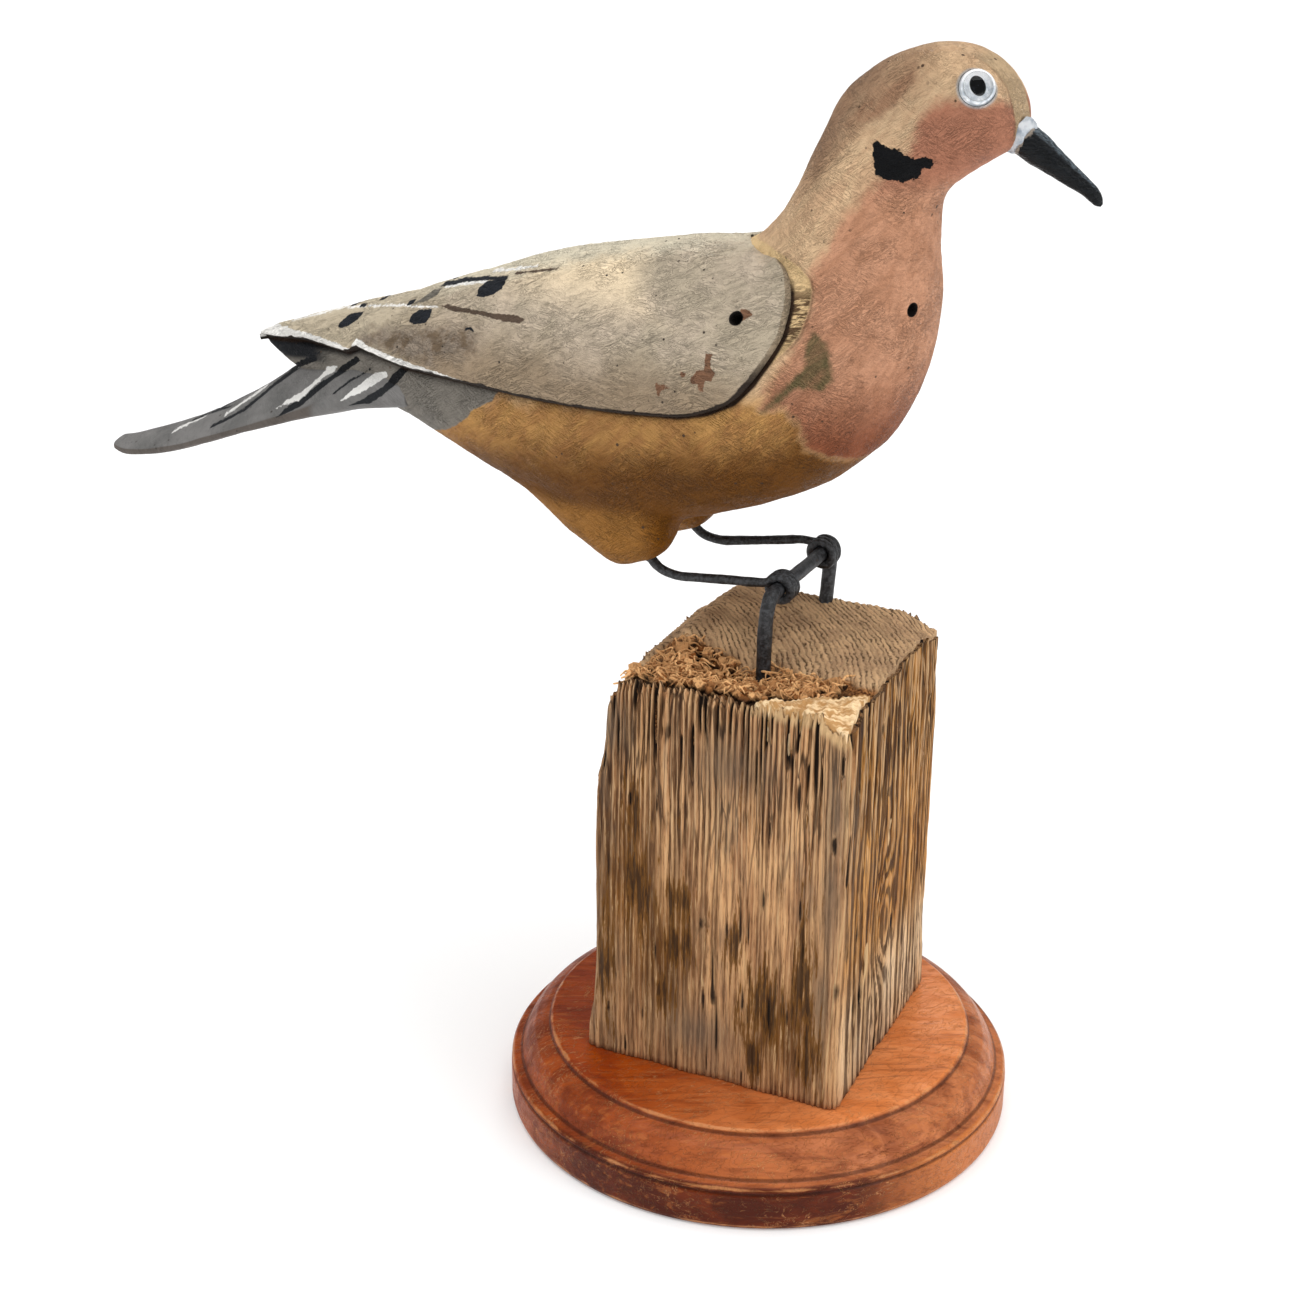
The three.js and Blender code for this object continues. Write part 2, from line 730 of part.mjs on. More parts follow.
addPiece("dove_body", body, "painted");
addPiece("bill", bill(), "bill");
addPiece("bill_glue", bead, "glue");
for (const name of Object.keys(SIDES)) {
  addPiece(`eye_${name}`, eye(name), "eye");
  addPiece(`leg_wire_${name}`, legWire(name), "wire");
}
addPiece("perch_wire", perch(), "wire");
addPiece("post_block", postSolid, "post");
addPiece("plinth", plinth(), "plinth");

export default dove;
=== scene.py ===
# %% [markdown]
# A carved and painted wooden dove
#
# A folk carving of a dove stands on a staple of bent wire, driven into the rotted end of an old
# post, which stands on a turned and varnished plaque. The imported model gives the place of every
# piece. This lesson gives the pieces their fine surface: brush marks, worn paint, raised grain.

import itertools
import math

import bpy
import numpy as np
from mathutils import Matrix, Vector


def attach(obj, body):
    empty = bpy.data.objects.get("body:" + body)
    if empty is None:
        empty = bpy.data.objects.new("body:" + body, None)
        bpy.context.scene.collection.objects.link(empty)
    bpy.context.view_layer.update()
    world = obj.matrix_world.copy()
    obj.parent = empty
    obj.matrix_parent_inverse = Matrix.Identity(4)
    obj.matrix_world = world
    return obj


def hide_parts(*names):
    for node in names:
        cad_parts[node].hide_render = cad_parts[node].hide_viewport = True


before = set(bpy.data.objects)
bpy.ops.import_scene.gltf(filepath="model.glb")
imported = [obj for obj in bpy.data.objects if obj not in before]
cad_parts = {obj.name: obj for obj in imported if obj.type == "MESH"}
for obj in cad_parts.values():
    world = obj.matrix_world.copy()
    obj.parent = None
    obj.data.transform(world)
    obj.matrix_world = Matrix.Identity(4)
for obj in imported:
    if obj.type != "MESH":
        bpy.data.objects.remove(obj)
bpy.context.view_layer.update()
MM = 0.001
print("nodes", sorted(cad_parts))

# %% [markdown]
# Tools for shapes
#
# Every surface here is worked out as one array of points, in millimetres, and becomes a closed
# mesh at the end. Curves through tables use the same blend as the model's, so the fine surface
# lies where the plain one does.

# %%
BIRD_MIDDLE = 22.9


def blend_rows(rows, t):
    """Rows of numbers at t from 0 to 1: a cubic through each pair, with slopes from their neighbours."""
    rows = np.asarray(rows, float)
    last = len(rows) - 1
    at = last * np.asarray(t, float)
    i = np.clip(np.floor(at).astype(int), 0, last)
    w = (at - i)[..., None]
    before, start, end, after = (rows[np.clip(i + k, 0, last)] for k in (-1, 0, 1, 2))
    enter, leave = (end - before) / 2, (after - start) / 2
    cubic = 2 * start - 2 * end + enter + leave
    square = -3 * start + 3 * end - 2 * enter - leave
    return ((cubic * w + square) * w + enter) * w + start


def superellipse(angle, squareness):
    """Across and up, each -1 to 1, of a squared circle: sine and cosine to the power 2 / squareness."""
    s, c = np.sin(angle), np.cos(angle)
    power = 2 / squareness
    return np.sign(s) * abs(s) ** power, np.sign(c) * abs(c) ** power


def rib_surface(ribs, t, angle):
    """Points between a back point and a belly point, rounded by a superellipse, wider below by egg."""
    rib = blend_rows(ribs, t)
    back, belly = rib[..., 0:2], rib[..., 2:4]
    across, up = superellipse(angle, rib[..., 6])
    middle, reach = (back + belly) / 2, (back - belly) / 2
    x = middle[..., 0] + reach[..., 0] * up
    y = BIRD_MIDDLE + rib[..., 4] * across * (1 - rib[..., 5] * up)
    z = middle[..., 1] + reach[..., 1] * up
    return np.stack([x, y, z], -1)


def smooth(value, low, high):
    """0 below low, 1 above high, and a smooth step between."""
    t = np.clip((value - low) / (high - low), 0, 1)
    return t * t * (3 - 2 * t)


def noise(points, size, seed=0):
    """A smooth random field from -1 to 1: random values on a lattice of that size, blended in each cell."""
    p = np.asarray(points, float) / size + 1000.5
    cell = np.floor(p).astype(np.int64)
    w = p - cell
    w = w * w * (3 - 2 * w)
    total = 0
    for corner in itertools.product((0, 1), repeat=3):
        c = cell + np.array(corner)
        h = c[..., 0] * 73856093 ^ c[..., 1] * 19349663 ^ c[..., 2] * 83492791 ^ seed * 40503
        h = (h ^ (h >> 13)) * 1274126177 & 0x7FFFFFFF
        value = ((h ^ (h >> 15)) & 0xFFFF) / 0x7FFF - 1
        total = total + value * np.prod(np.where(corner, w, 1 - w), -1)
    return total


def to_line(x, z, points):
    """Distance from each place (x, z) to a chain of straight lines."""
    best = np.full(np.shape(x), np.inf)
    for (ax, az), (bx, bz) in zip(points, points[1:]):
        dx, dz = bx - ax, bz - az
        t = np.clip(((x - ax) * dx + (z - az) * dz) / (dx * dx + dz * dz), 0, 1)
        best = np.minimum(best, np.hypot(x - ax - t * dx, z - az - t * dz))
    return best


def inside(x, z, outline):
    """Signed distance to a closed outline, positive inside."""
    loop = list(outline) + [outline[0]]
    odd = np.zeros(np.shape(x), bool)
    for (ax, az), (bx, bz) in zip(loop, loop[1:]):
        crosses = (az > z) != (bz > z)
        odd ^= crosses & (x < (bx - ax) * (z - az) / (bz - az + 1e-12) + ax)
    return np.where(odd, 1, -1) * to_line(x, z, loop)


def grid_faces(rows, columns, closed):
    """Quads of a grid of points; closed joins the last column to the first."""
    i = np.arange(rows - 1)[:, None]
    j = np.arange(columns if closed else columns - 1)[None]
    nxt = (j + 1) % columns
    corners = [i * columns + j, i * columns + nxt, (i + 1) * columns + nxt, (i + 1) * columns + j]
    return np.stack(np.broadcast_arrays(*corners), -1).reshape(-1, 4)


def rings_shell(points):
    """Rings of points (rows, columns, 3) as one closed surface, with a fan over each end."""
    rows, columns, _ = points.shape
    quads = grid_faces(rows, columns, True)
    j = np.arange(columns)
    nxt = (j + 1) % columns
    start, end = rows * columns, rows * columns + 1
    last = (rows - 1) * columns
    fans = [
        np.stack([np.full(columns, start), nxt, j], -1),
        np.stack([np.full(columns, end), last + j, last + nxt], -1),
    ]
    ends = [points[0].mean(0), points[-1].mean(0)]
    return np.vstack([points.reshape(-1, 3), ends]), quads, np.vstack(fans)


def volume(vertices, quads, triangles):
    """Signed volume: positive where the faces point outwards."""
    total = 0
    for faces in (quads[:, :3], quads[:, [0, 2, 3]], triangles):
        a, b, c = (vertices[faces[:, k]] for k in range(3))
        total += np.einsum("ij,ij->i", a, np.cross(b, c)).sum()
    return total


def make_mesh(name, vertices, quads, triangles=None):
    """A mesh object from arrays in millimetres, its faces pointing outwards."""
    triangles = np.zeros((0, 3), int) if triangles is None else triangles
    if volume(vertices, quads, triangles) < 0:
        quads, triangles = quads[:, ::-1], triangles[:, ::-1]
    mesh = bpy.data.meshes.new(name)
    mesh.vertices.add(len(vertices))
    mesh.vertices.foreach_set("co", (vertices * MM).astype(np.float32).ravel())
    corners = np.concatenate([quads.ravel(), triangles.ravel()])
    sizes = np.concatenate([np.full(len(quads), 4), np.full(len(triangles), 3)])
    mesh.loops.add(len(corners))
    mesh.loops.foreach_set("vertex_index", corners.astype(np.int32))
    mesh.polygons.add(len(sizes))
    mesh.polygons.foreach_set("loop_start", (np.cumsum(sizes) - sizes).astype(np.int32))
    mesh.update(calc_edges=True)
    mesh.validate()
    mesh.shade_smooth()
    piece = bpy.data.objects.new(name, mesh)
    bpy.context.collection.objects.link(piece)
    return piece


def places(piece):
    """The vertices of a piece, in millimetres."""
    found = np.empty(len(piece.data.vertices) * 3, np.float32)
    piece.data.vertices.foreach_get("co", found)
    return found.reshape(-1, 3).astype(float) / MM


def move_to(piece, vertices):
    """Puts a piece's vertices at these places, in millimetres."""
    piece.data.vertices.foreach_set("co", (vertices * MM).astype(np.float32).ravel())
    piece.data.update()


def normals(piece):
    """The outward direction at each vertex."""
    found = np.empty(len(piece.data.vertices) * 3, np.float32)
    piece.data.vertex_normals.foreach_get("vector", found)
    return found.reshape(-1, 3).astype(float)


def mark(piece, name, values):
    """Stores one number at each vertex, for the material to read."""
    attribute = piece.data.attributes.new(name, "FLOAT", "POINT")
    attribute.data.foreach_set("value", np.asarray(values, np.float32))


def finish_piece(piece, nodes, material):
    """The piece rides on the object, stands for its nodes and wears its material."""
    piece.data.materials.clear()
    piece.data.materials.append(material)
    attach(piece, "root")
    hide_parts(*nodes)
    piece.data.calc_loop_triangles()
    print(piece.name, len(piece.data.loop_triangles), "triangles")


# %% [markdown]
# Tools for materials
#
# A material is a small graph. These short calls add one node each and return its output, so a
# paint reads as a recipe. Colours are linear, sizes are in metres because the pattern follows
# the object's own coordinates.


# %%
class Paint:
    """The shader graph of one material."""

    def __init__(self, name):
        self.material = bpy.data.materials.new(name)
        self.material.use_nodes = True
        self.tree = self.material.node_tree
        self.shader = self.tree.nodes["Principled BSDF"]
        self.place = self.add("ShaderNodeTexCoord").outputs["Object"]

    def add(self, kind, inputs=None, **settings):
        node = self.tree.nodes.new(kind)
        for key, value in settings.items():
            setattr(node, key, value)
        for key, value in (inputs or {}).items():
            self.put(node.inputs[key], value)
        return node

    def put(self, socket, value):
        if isinstance(value, bpy.types.NodeSocket):
            self.tree.links.new(value, socket)
        elif isinstance(value, (tuple, list)) and len(value) == 3 and socket.type == "RGBA":
            socket.default_value = (*value, 1)
        else:
            socket.default_value = value

    def stretch(self, scale, turn=(0, 0, 0), vector=None):
        inputs = {"Vector": vector or self.place, "Scale": scale, "Rotation": turn}
        return self.add("ShaderNodeMapping", inputs).outputs["Vector"]

    def lay(self, size, turn=(0, 0, 0)):
        """Places turned, then measured in features of that size, so that a pattern runs along its X."""
        inputs = {"Vector": self.place, "Scale": size, "Rotation": turn}
        return self.add("ShaderNodeMapping", inputs, vector_type="TEXTURE").outputs["Vector"]

    def noise(self, scale, detail=4, rough=0.55, vector=None, warp=0):
        inputs = {
            "Vector": vector or self.place,
            "Scale": scale,
            "Detail": detail,
            "Roughness": rough,
            "Distortion": warp,
        }
        return self.add("ShaderNodeTexNoise", inputs).outputs["Fac"]

    def cells(self, scale, vector=None, feature="F1"):
        inputs = {"Vector": vector or self.place, "Scale": scale}
        node = self.add("ShaderNodeTexVoronoi", inputs, feature=feature)
        return node.outputs["Distance"]

    def mark(self, name):
        return self.add("ShaderNodeAttribute", attribute_name=name).outputs["Fac"]

    def band(self, value, low, high, start=0.0, end=1.0):
        inputs = {"Value": value, "From Min": low, "From Max": high, "To Min": start, "To Max": end}
        node = self.add("ShaderNodeMapRange", inputs, interpolation_type="SMOOTHSTEP")
        return node.outputs["Result"]

    def math(self, operation, a, b=0.0, c=0.0):
        node = self.add("ShaderNodeMath", {0: a, 1: b, 2: c}, operation=operation)
        return node.outputs["Value"]

    def mix(self, share, a, b, blend="MIX"):
        node = self.add("ShaderNodeMix", data_type="RGBA", blend_type=blend)
        self.put(node.inputs[0], share)
        self.put(node.inputs[6], a)
        self.put(node.inputs[7], b)
        return node.outputs[2]

    def tint(self, share, color, factor):
        """A colour multiplied by a factor where the share is 1."""
        return self.mix(share, color, self.mix(1.0, color, (factor,) * 3, "MULTIPLY"))

    def bump(self, height, distance, strength=1.0, normal=None):
        inputs = {"Height": height, "Distance": distance, "Strength": strength}
        if normal:
            inputs["Normal"] = normal
        return self.add("ShaderNodeBump", inputs).outputs["Normal"]

    def finish(self, color, roughness, normal=None, **plain):
        self.put(self.shader.inputs["Base Color"], color)
        self.put(self.shader.inputs["Roughness"], roughness)
        if normal:
            self.put(self.shader.inputs["Normal"], normal)
        for key, value in plain.items():
            self.put(self.shader.inputs[key.replace("_", " ")], value)
        return self.material


def rgb(code):
    """A colour such as "b59a7c", as seen on a screen, in linear light."""
    shares = [int(code[i : i + 2], 16) / 255 for i in (0, 2, 4)]
    return tuple(c / 12.92 if c <= 0.04045 else ((c + 0.055) / 1.055) ** 2.4 for c in shares)


# %% [markdown]
# The bird's tables
#
# Ribs of the body, of the wings' outer surface, of the tail and of the thighs.

# %%
BODY_RIBS = [
    [-182, 212.5, -180, 207.5, 1.2, 0, 2],
    [-166, 217, -163, 203.5, 7.5, 0, 2],
    [-147, 222.5, -142, 199, 15, 0, 2],
    [-127, 228, -123, 193, 22, 0, 2],
    [-104, 236, -100, 185, 28.5, 0.1, 2.05],
    [-80, 245, -76, 177.5, 32.8, 0.15, 2.1],
    [-57, 252.5, -52, 172.3, 35, 0.15, 2.1],
    [-36, 256.8, -27, 178, 35.6, 0.12, 2.1],
    [-22, 259.6, -4, 186.3, 35.5, 0.08, 2.1],
    [-14.5, 262.3, 12, 195.2, 34, 0, 2.1],
    [-9.5, 266.8, 25.5, 207.5, 31, 0, 2.1],
    [-5.5, 272, 33.5, 224.5, 28, 0, 2.1],
    [-1.2, 280, 37, 246, 24.5, 0, 2.15],
    [1.9, 288, 36.5, 264, 20.5, 0, 2.2],
    [5.6, 295.8, 37.5, 276.8, 17.5, 0, 2.3],
    [11.5, 305.8, 44, 283, 16, 0, 2.35],
    [22.8, 313.8, 50.5, 287.5, 15.8, 0, 2.4],
    [36.5, 318, 55, 290.5, 15.3, 0, 2.5],
    [48, 315.3, 58, 293, 13.2, 0, 2.5],
    [55.3, 309.3, 59.2, 297, 9, 0, 2.3],
    [58.2, 303.2, 58.6, 301.8, 0.5, 0, 2],
]
WING_RIBS = [
    [-187, 211.6, -186, 208.6, 1, 0, 2],
    [-180, 215, -177, 205.5, 4.5, 0, 2],
    [-166, 220.4, -162, 200, 10, 0, 2],
    [-148, 226.3, -143, 196, 17, 0, 2],
    [-128, 232.4, -122, 193, 24, 0, 2.05],
    [-105, 241, -99, 186, 30.5, 0.1, 2.1],
    [-80, 249.2, -76, 178, 35.5, 0.15, 2.1],
    [-57, 254.6, -51, 174, 38, 0.15, 2.1],
    [-36, 258.6, -26, 180, 38.5, 0.12, 2.1],
    [-20, 260.6, -3, 188, 38, 0.08, 2.1],
    [-9, 264.5, 15, 197, 36, 0, 2.1],
    [-2, 275, 30, 212, 32, 0, 2.1],
    [5, 286, 40, 240, 26, 0, 2.1],
]
TIP_RIBS = [
    [-185.8, 211.2, -185.4, 209.8, 1, 0, 2],
    [-181, 213, -179, 206.3, 3.6, 0, 2],
    [-172, 216, -169.5, 201.6, 7, 0, 2],
    [-160, 219, -157, 198, 11, 0, 2],
    [-146, 223, -141, 196, 15, 0, 2],
]
WING_FRONT = [
    [-17.5, 261.2],
    [-12.5, 262.2],
    [-6, 262.4],
    [1, 260],
    [4.4, 255.2],
    [5.4, 249.2],
    [4.6, 242],
    [1.6, 235.2],
    [-2.3, 228.8],
    [-7.6, 223],
    [-15.2, 219.3],
    [-23.1, 217.3],
    [-40, 216],
    [-66, 215.4],
    [-94, 215.8],
    [-118.6, 215.5],
]
WING_STEP = [[-140, 217.3], [-145.4, 214.6], [-164.4, 214.4], [-190, 210.3]]
HOLLOW_EDGE = [
    [-6.3, 263.6],
    [1.7, 262.4],
    [7.5, 260.3],
    [10.9, 257.5],
    [12.1, 254.5],
    [11.8, 249],
    [10, 242.5],
    [7.8, 239.2],
    [2.2, 232.7],
    [-5.2, 225.7],
    [-9.6, 222.5],
    [-16.5, 218.6],
    [-30, 217],
    [-30, 262],
]
WING_OUTLINE = [*WING_FRONT, *WING_STEP, [-190, 300], [-17.5, 300]]
TAIL_RIBS = [
    [-246.3, 166, 3.5, 1.6, 2],
    [-244.5, 165.3, 6, 3, 4.2],
    [-238, 165, 8.5, 3.6, 6.2],
    [-226, 167.6, 11.5, 3.8, 8],
    [-212, 172, 14.5, 4, 9],
    [-198, 177.4, 17, 4.2, 10.8],
    [-186, 182, 19, 4.4, 13.2],
    [-172, 187, 20.5, 5, 17],
    [-156, 192, 21.5, 7, 20],
    [-138, 197, 22.5, 10, 22],
    [-120, 200, 23, 14, 22],
]
THIGH_RIBS = [
    [-100, 190, 200, 6],
    [-88, 184.6, 205, 10],
    [-79, 180.2, 205, 11.5],
    [-71.5, 174.2, 205, 11.5],
    [-64, 168.8, 204, 11],
    [-56, 163.4, 202, 10],
    [-51, 161.8, 200, 9.4],
    [-46, 163, 197, 8.8],
    [-40, 165.6, 194, 8.2],
    [-35.5, 170, 186, 7],
    [-34, 176, 180, 4],
]
LEG_SPREAD = 14.8
TAIL_SQUARENESS = 3.4
TAIL_RIDGE_POWER = 1.25
SIDES = {"right": -1, "left": 1}


# %% [markdown]
# The paint's layout
#
# The carver painted the bird in patches. Each patch is an outline or a stroke seen from the
# side, so both sides of the bird share it. What is stored on a vertex is the distance to the
# patch's edge, in millimetres, and the material turns it into a ragged edge.

# %%
EAR_PATCH = [
    [23, 293.9],
    [25.8, 293.2],
    [30.5, 291.3],
    [34.6, 289.8],
    [37.9, 290.2],
    [40.3, 288.9],
    [39, 287.7],
    [36.5, 286.8],
    [35.5, 284.5],
    [32.4, 283.5],
    [29.3, 283.3],
    [26.8, 284],
    [24.8, 285],
    [23.7, 289],
]
PINK = [
    [62, 305],
    [56.9, 305.4],
    [45.1, 305.8],
    [38.9, 304.7],
    [35.8, 299.6],
    [33.5, 291.9],
    [28, 286],
    [24.5, 282.3],
    [18.2, 274.3],
    [14.1, 265.8],
    [10.5, 260],
    [11.5, 250],
    [8, 238],
    [2, 228],
    [0.4, 221.5],
    [6.5, 222],
    [10.4, 216],
    [10.4, 209.3],
    [15.8, 205.5],
    [22, 201],
    [60, 195],
    [70, 300],
]
SMUDGE = [
    [14.3, 296.4],
    [18.5, 303],
    [23.5, 308.6],
    [29, 313.2],
    [33.4, 313.8],
    [33.6, 309.5],
    [30.3, 305],
    [24.6, 299.6],
    [17.2, 294.8],
]
OLIVE = [
    [13.2, 244],
    [16.9, 240.5],
    [18.2, 235],
    [18.9, 230.9],
    [16.2, 227.5],
    [9.3, 228.3],
    [5.8, 224],
    [0.4, 220.2],
    [4.1, 225.7],
    [8.6, 230.7],
    [11.9, 234.8],
    [11.2, 240.2],
]
RUMP = [
    [-190, 190],
    [-118, 193],
    [-102.1, 199.5],
    [-95.1, 204.2],
    [-91.6, 208.1],
    [-84.8, 211.7],
    [-82.8, 216],
    [-190, 222],
]
SPOTS = [
    [[-97.4, 238], [-98.3, 239.7], [-96.7, 241.4], [-89.9, 243.1], [-89.1, 241], [-91.7, 239.1], [-94.7, 238.1]],
    [[-119.8, 227.7], [-120, 229.4], [-118.1, 231.1], [-112.4, 232.3], [-111.9, 230.6], [-112.9, 228.9], [-116.7, 227.9]],
    [[-150.4, 220.5], [-149.5, 222.7], [-147.6, 224.4], [-142.2, 225.8], [-142.5, 224.1], [-145.4, 222], [-148.6, 220.6]],
]
DOTS = [
    ([[-124.7, 231.1], [-122.6, 231.9]], 0.5),
    ([[-146.6, 226], [-144.2, 226.6]], 0.4),
    ([[-151.6, 225.1], [-149.6, 225.7]], 0.35),
    ([[-140.4, 228.5], [-138.8, 228.9]], 0.3),
    ([[-96.8, 230], [-95.1, 230.6], [-93.6, 230.2]], 0.35),
    ([[-116.5, 236.4], [-107, 239.4], [-97.8, 241.7], [-89.9, 243.1]], 0.4),
]
BROWN_STRIPE = [
    [-110.3, 233.4],
    [-107.4, 234.3],
    [-98.2, 234.9],
    [-87, 235.6],
    [-80.1, 236.3],
    [-75.9, 235.6],
    [-78, 234.5],
    [-83.9, 234.2],
    [-92.7, 234.3],
    [-104, 233.4],
]
GREY_STROKE = [[-122.2, 231.5], [-119.1, 233.8], [-117.4, 235.5], [-114.2, 236.5], [-113.8, 235.5], [-116.4, 233.5]]
THIN_BROWN = [[-87.6, 244.5], [-79.7, 246.4], [-72.4, 248.1]]
WHITE_LINES = [
    ([[-113.3, 237], [-104.4, 239.5], [-96.7, 241.4]], 0.45),
    ([[-173.9, 217.4], [-154.7, 223.9], [-142.9, 226.7], [-125.8, 230.4], [-110.9, 233]], 0.3),
    ([[-97.9, 243], [-89.4, 245.1], [-81, 247.1]], 0.35),
]
RIM_WHITE = [
    [[-192, 208], [-192, 214], [-187, 213.4], [-179.7, 215], [-164.9, 216], [-150.1, 216.2], [-141.9, 215.6], [-150.7, 214], [-166, 213]],
    [[-141, 217.4], [-139.6, 219.3], [-134.8, 218.5], [-116.3, 217.2], [-104.3, 216.7], [-94.4, 216], [-104, 215], [-130, 215]],
]
BROWN_PATCH = [
    [-142.6, 218.3],
    [-139.3, 221.1],
    [-130.5, 224.5],
    [-117.5, 227.2],
    [-104.8, 228.4],
    [-97.7, 229.9],
    [-91.7, 229.7],
    [-91.3, 225.8],
    [-100.2, 221.8],
    [-108.2, 219.2],
    [-117.2, 218.1],
    [-127.9, 219.1],
]
WORN = [
    [
        [-15.4, 235.8],
        [-13.4, 236],
        [-13.5, 232.6],
        [-11.8, 231.1],
        [-12.4, 228.9],
        [-14.5, 228.8],
        [-15.1, 225.5],
        [-16.4, 225.6],
        [-16.3, 227.7],
        [-18.9, 227.4],
        [-18.9, 229.1],
        [-17.5, 231],
        [-15.2, 231.6],
    ],
    [[-7.4, 247.9], [-4.7, 248.2], [-4.2, 246.7], [-5.6, 245.5], [-7.2, 244.9]],
    [[-22.4, 230.3], [-20.4, 230.6], [-20.6, 229], [-22, 228.8]],
    [[-29.5, 226.2], [-26.8, 226], [-24.7, 225.6], [-27.2, 224.6], [-28.3, 222.6], [-28.9, 223.6]],
]
YELLOW_BACK = [[-187, 212], [-150, 226], [-100.6, 240.3], [-80.5, 246.6], [-61.3, 251.9], [-42.9, 255.6], [-10, 262]]
TAIL_WHITE = [
    [
        [-154.9, 207.5],
        [-150, 209.1],
        [-150.4, 207.8],
        [-154.5, 205],
        [-161.1, 198.3],
        [-170.5, 193.5],
        [-166.8, 196.7],
        [-161.4, 200.2],
        [-157, 204.1],
    ],
    [
        [-127, 212.4],
        [-126.8, 210.7],
        [-134.1, 205.7],
        [-143.3, 201],
        [-140.2, 204.3],
        [-135.5, 208.1],
        [-131.8, 210.8],
    ],
]
TAIL_BLACK = [
    [
        [-138.5, 213.2],
        [-149.6, 205.8],
        [-154.1, 201.8],
        [-159.6, 196.7],
        [-169.2, 191.4],
        [-165.4, 195.5],
        [-159.6, 200.2],
        [-152, 206],
        [-147, 209.9],
        [-141.2, 213.8],
    ],
    [
        [-116.2, 216.2],
        [-121.8, 210.2],
        [-128.3, 204.8],
        [-134.8, 200],
        [-141.9, 197.5],
        [-142.5, 198.6],
        [-136.4, 202.1],
        [-127.9, 207.8],
        [-124.7, 211.6],
        [-119.5, 216],
    ],
]
TAIL_WHITE_LINES = [
    ([[-183, 196], [-188, 192], [-192.6, 188.4], [-196.2, 185.9]], 0.45),
    ([[-158, 210.6], [-164, 207.6], [-171, 203.4]], 0.3),
    ([[-208.3, 181.8], [-214.6, 178.5], [-219.1, 176]], 0.35),
]
TAIL_BLACK_LINES = [
    ([[-160, 209], [-168.7, 205], [-178.2, 197.5], [-186.8, 189.6]], 0.75),
    ([[-186.8, 189.6], [-193.6, 185.6], [-199.5, 182.4]], 0.45),
    ([[-158, 211.4], [-173.9, 202.9], [-188.6, 193.6], [-205.3, 184.4]], 0.35),
    ([[-134.3, 211.4], [-142, 206.8], [-147, 202.6]], 0.3),
    ([[-197, 187.4], [-207, 183], [-214, 179.4]], 0.3),
]


def patches(x, z, outlines):
    """Signed distance to the nearest of several outlines."""
    return np.max([inside(x, z, outline) for outline in outlines], 0)


def strokes(x, z, lines):
    """Signed distance to strokes of a brush, each a chain of points with a half width."""
    return np.max([width - to_line(x, z, points) for points, width in lines], 0)


# %% [markdown]
# The carved body
#
# Body and thighs are one piece of wood, so their plain surfaces are joined by a remesh into
# one even skin, a few rounds of averaging soften the joins as a rasp would, and the knife's
# facets, the brush's relief and the hollow in front of the wing are pushed in and out of it.

# %%
SKIN_SPACING = 0.9


def thigh_surface(t, angle, side):
    rib = blend_rows(THIGH_RIBS, t)
    across, up = superellipse(angle, 2.2)
    y = BIRD_MIDDLE + side * LEG_SPREAD + rib[..., 3] * across
    z = (rib[..., 1] + rib[..., 2]) / 2 + (rib[..., 2] - rib[..., 1]) / 2 * up
    return np.stack([rib[..., 0] + 0 * up, y, z], -1)


def angles(count):
    return np.linspace(0, 2 * np.pi, count, endpoint=False)[None]


def steps(count):
    return np.linspace(0, 1, count)[:, None]


def remeshed(name, shells, spacing):
    """Several closed shells as one skin of even squares."""
    start = 0
    all_vertices, all_quads, all_triangles = [], [], []
    for vertices, quads, triangles in shells:
        if volume(vertices, quads, triangles) < 0:
            quads, triangles = quads[:, ::-1], triangles[:, ::-1]
        all_vertices.append(vertices)
        all_quads.append(quads + start)
        all_triangles.append(triangles + start)
        start += len(vertices)
    rough = make_mesh(name, *(np.vstack(part) for part in (all_vertices, all_quads, all_triangles)))
    modifier = rough.modifiers.new("skin", "REMESH")
    modifier.mode = "VOXEL"
    modifier.voxel_size = spacing * MM
    depsgraph = bpy.context.evaluated_depsgraph_get()
    rough.data = bpy.data.meshes.new_from_object(rough.evaluated_get(depsgraph))
    rough.modifiers.clear()
    rough.data.shade_smooth()
    return rough


def average(piece, rounds, share=0.5):
    """Moves each vertex towards the middle of its neighbours, several times."""
    edges = np.empty(len(piece.data.edges) * 2, np.int32)
    piece.data.edges.foreach_get("vertices", edges)
    a, b = edges.reshape(-1, 2).T
    vertices = places(piece)
    count = np.bincount(np.concatenate([a, b]), minlength=len(vertices))[:, None]
    for _ in range(rounds):
        total = np.zeros_like(vertices)
        for axis in range(3):
            total[:, axis] = np.bincount(a, vertices[b, axis], len(vertices))
            total[:, axis] += np.bincount(b, vertices[a, axis], len(vertices))
        vertices = vertices + share * (total / count - vertices)
    move_to(piece, vertices)


def drill(piece, centre, facing, diameter, depth, name):
    """A round hole cut into a piece, from outside along its facing."""
    bpy.ops.mesh.primitive_cylinder_add(vertices=40, radius=diameter / 2 * MM, depth=(depth + 6) * MM)
    tool = bpy.context.object
    direction = Vector(facing).normalized()
    tool.rotation_mode = "QUATERNION"
    tool.rotation_quaternion = Vector((0, 0, 1)).rotation_difference(direction)
    tool.location = (Vector(centre) + direction * (6 - depth) / 2) * MM
    bpy.context.view_layer.update()
    cut = piece.modifiers.new(name, "BOOLEAN")
    cut.object = tool
    cut.solver = "MANIFOLD"
    depsgraph = bpy.context.evaluated_depsgraph_get()
    piece.data = bpy.data.meshes.new_from_object(piece.evaluated_get(depsgraph))
    piece.modifiers.clear()
    bpy.data.objects.remove(tool)


def on_side(place, side):
    x, out, z = place
    return (x, BIRD_MIDDLE + side * out, z)


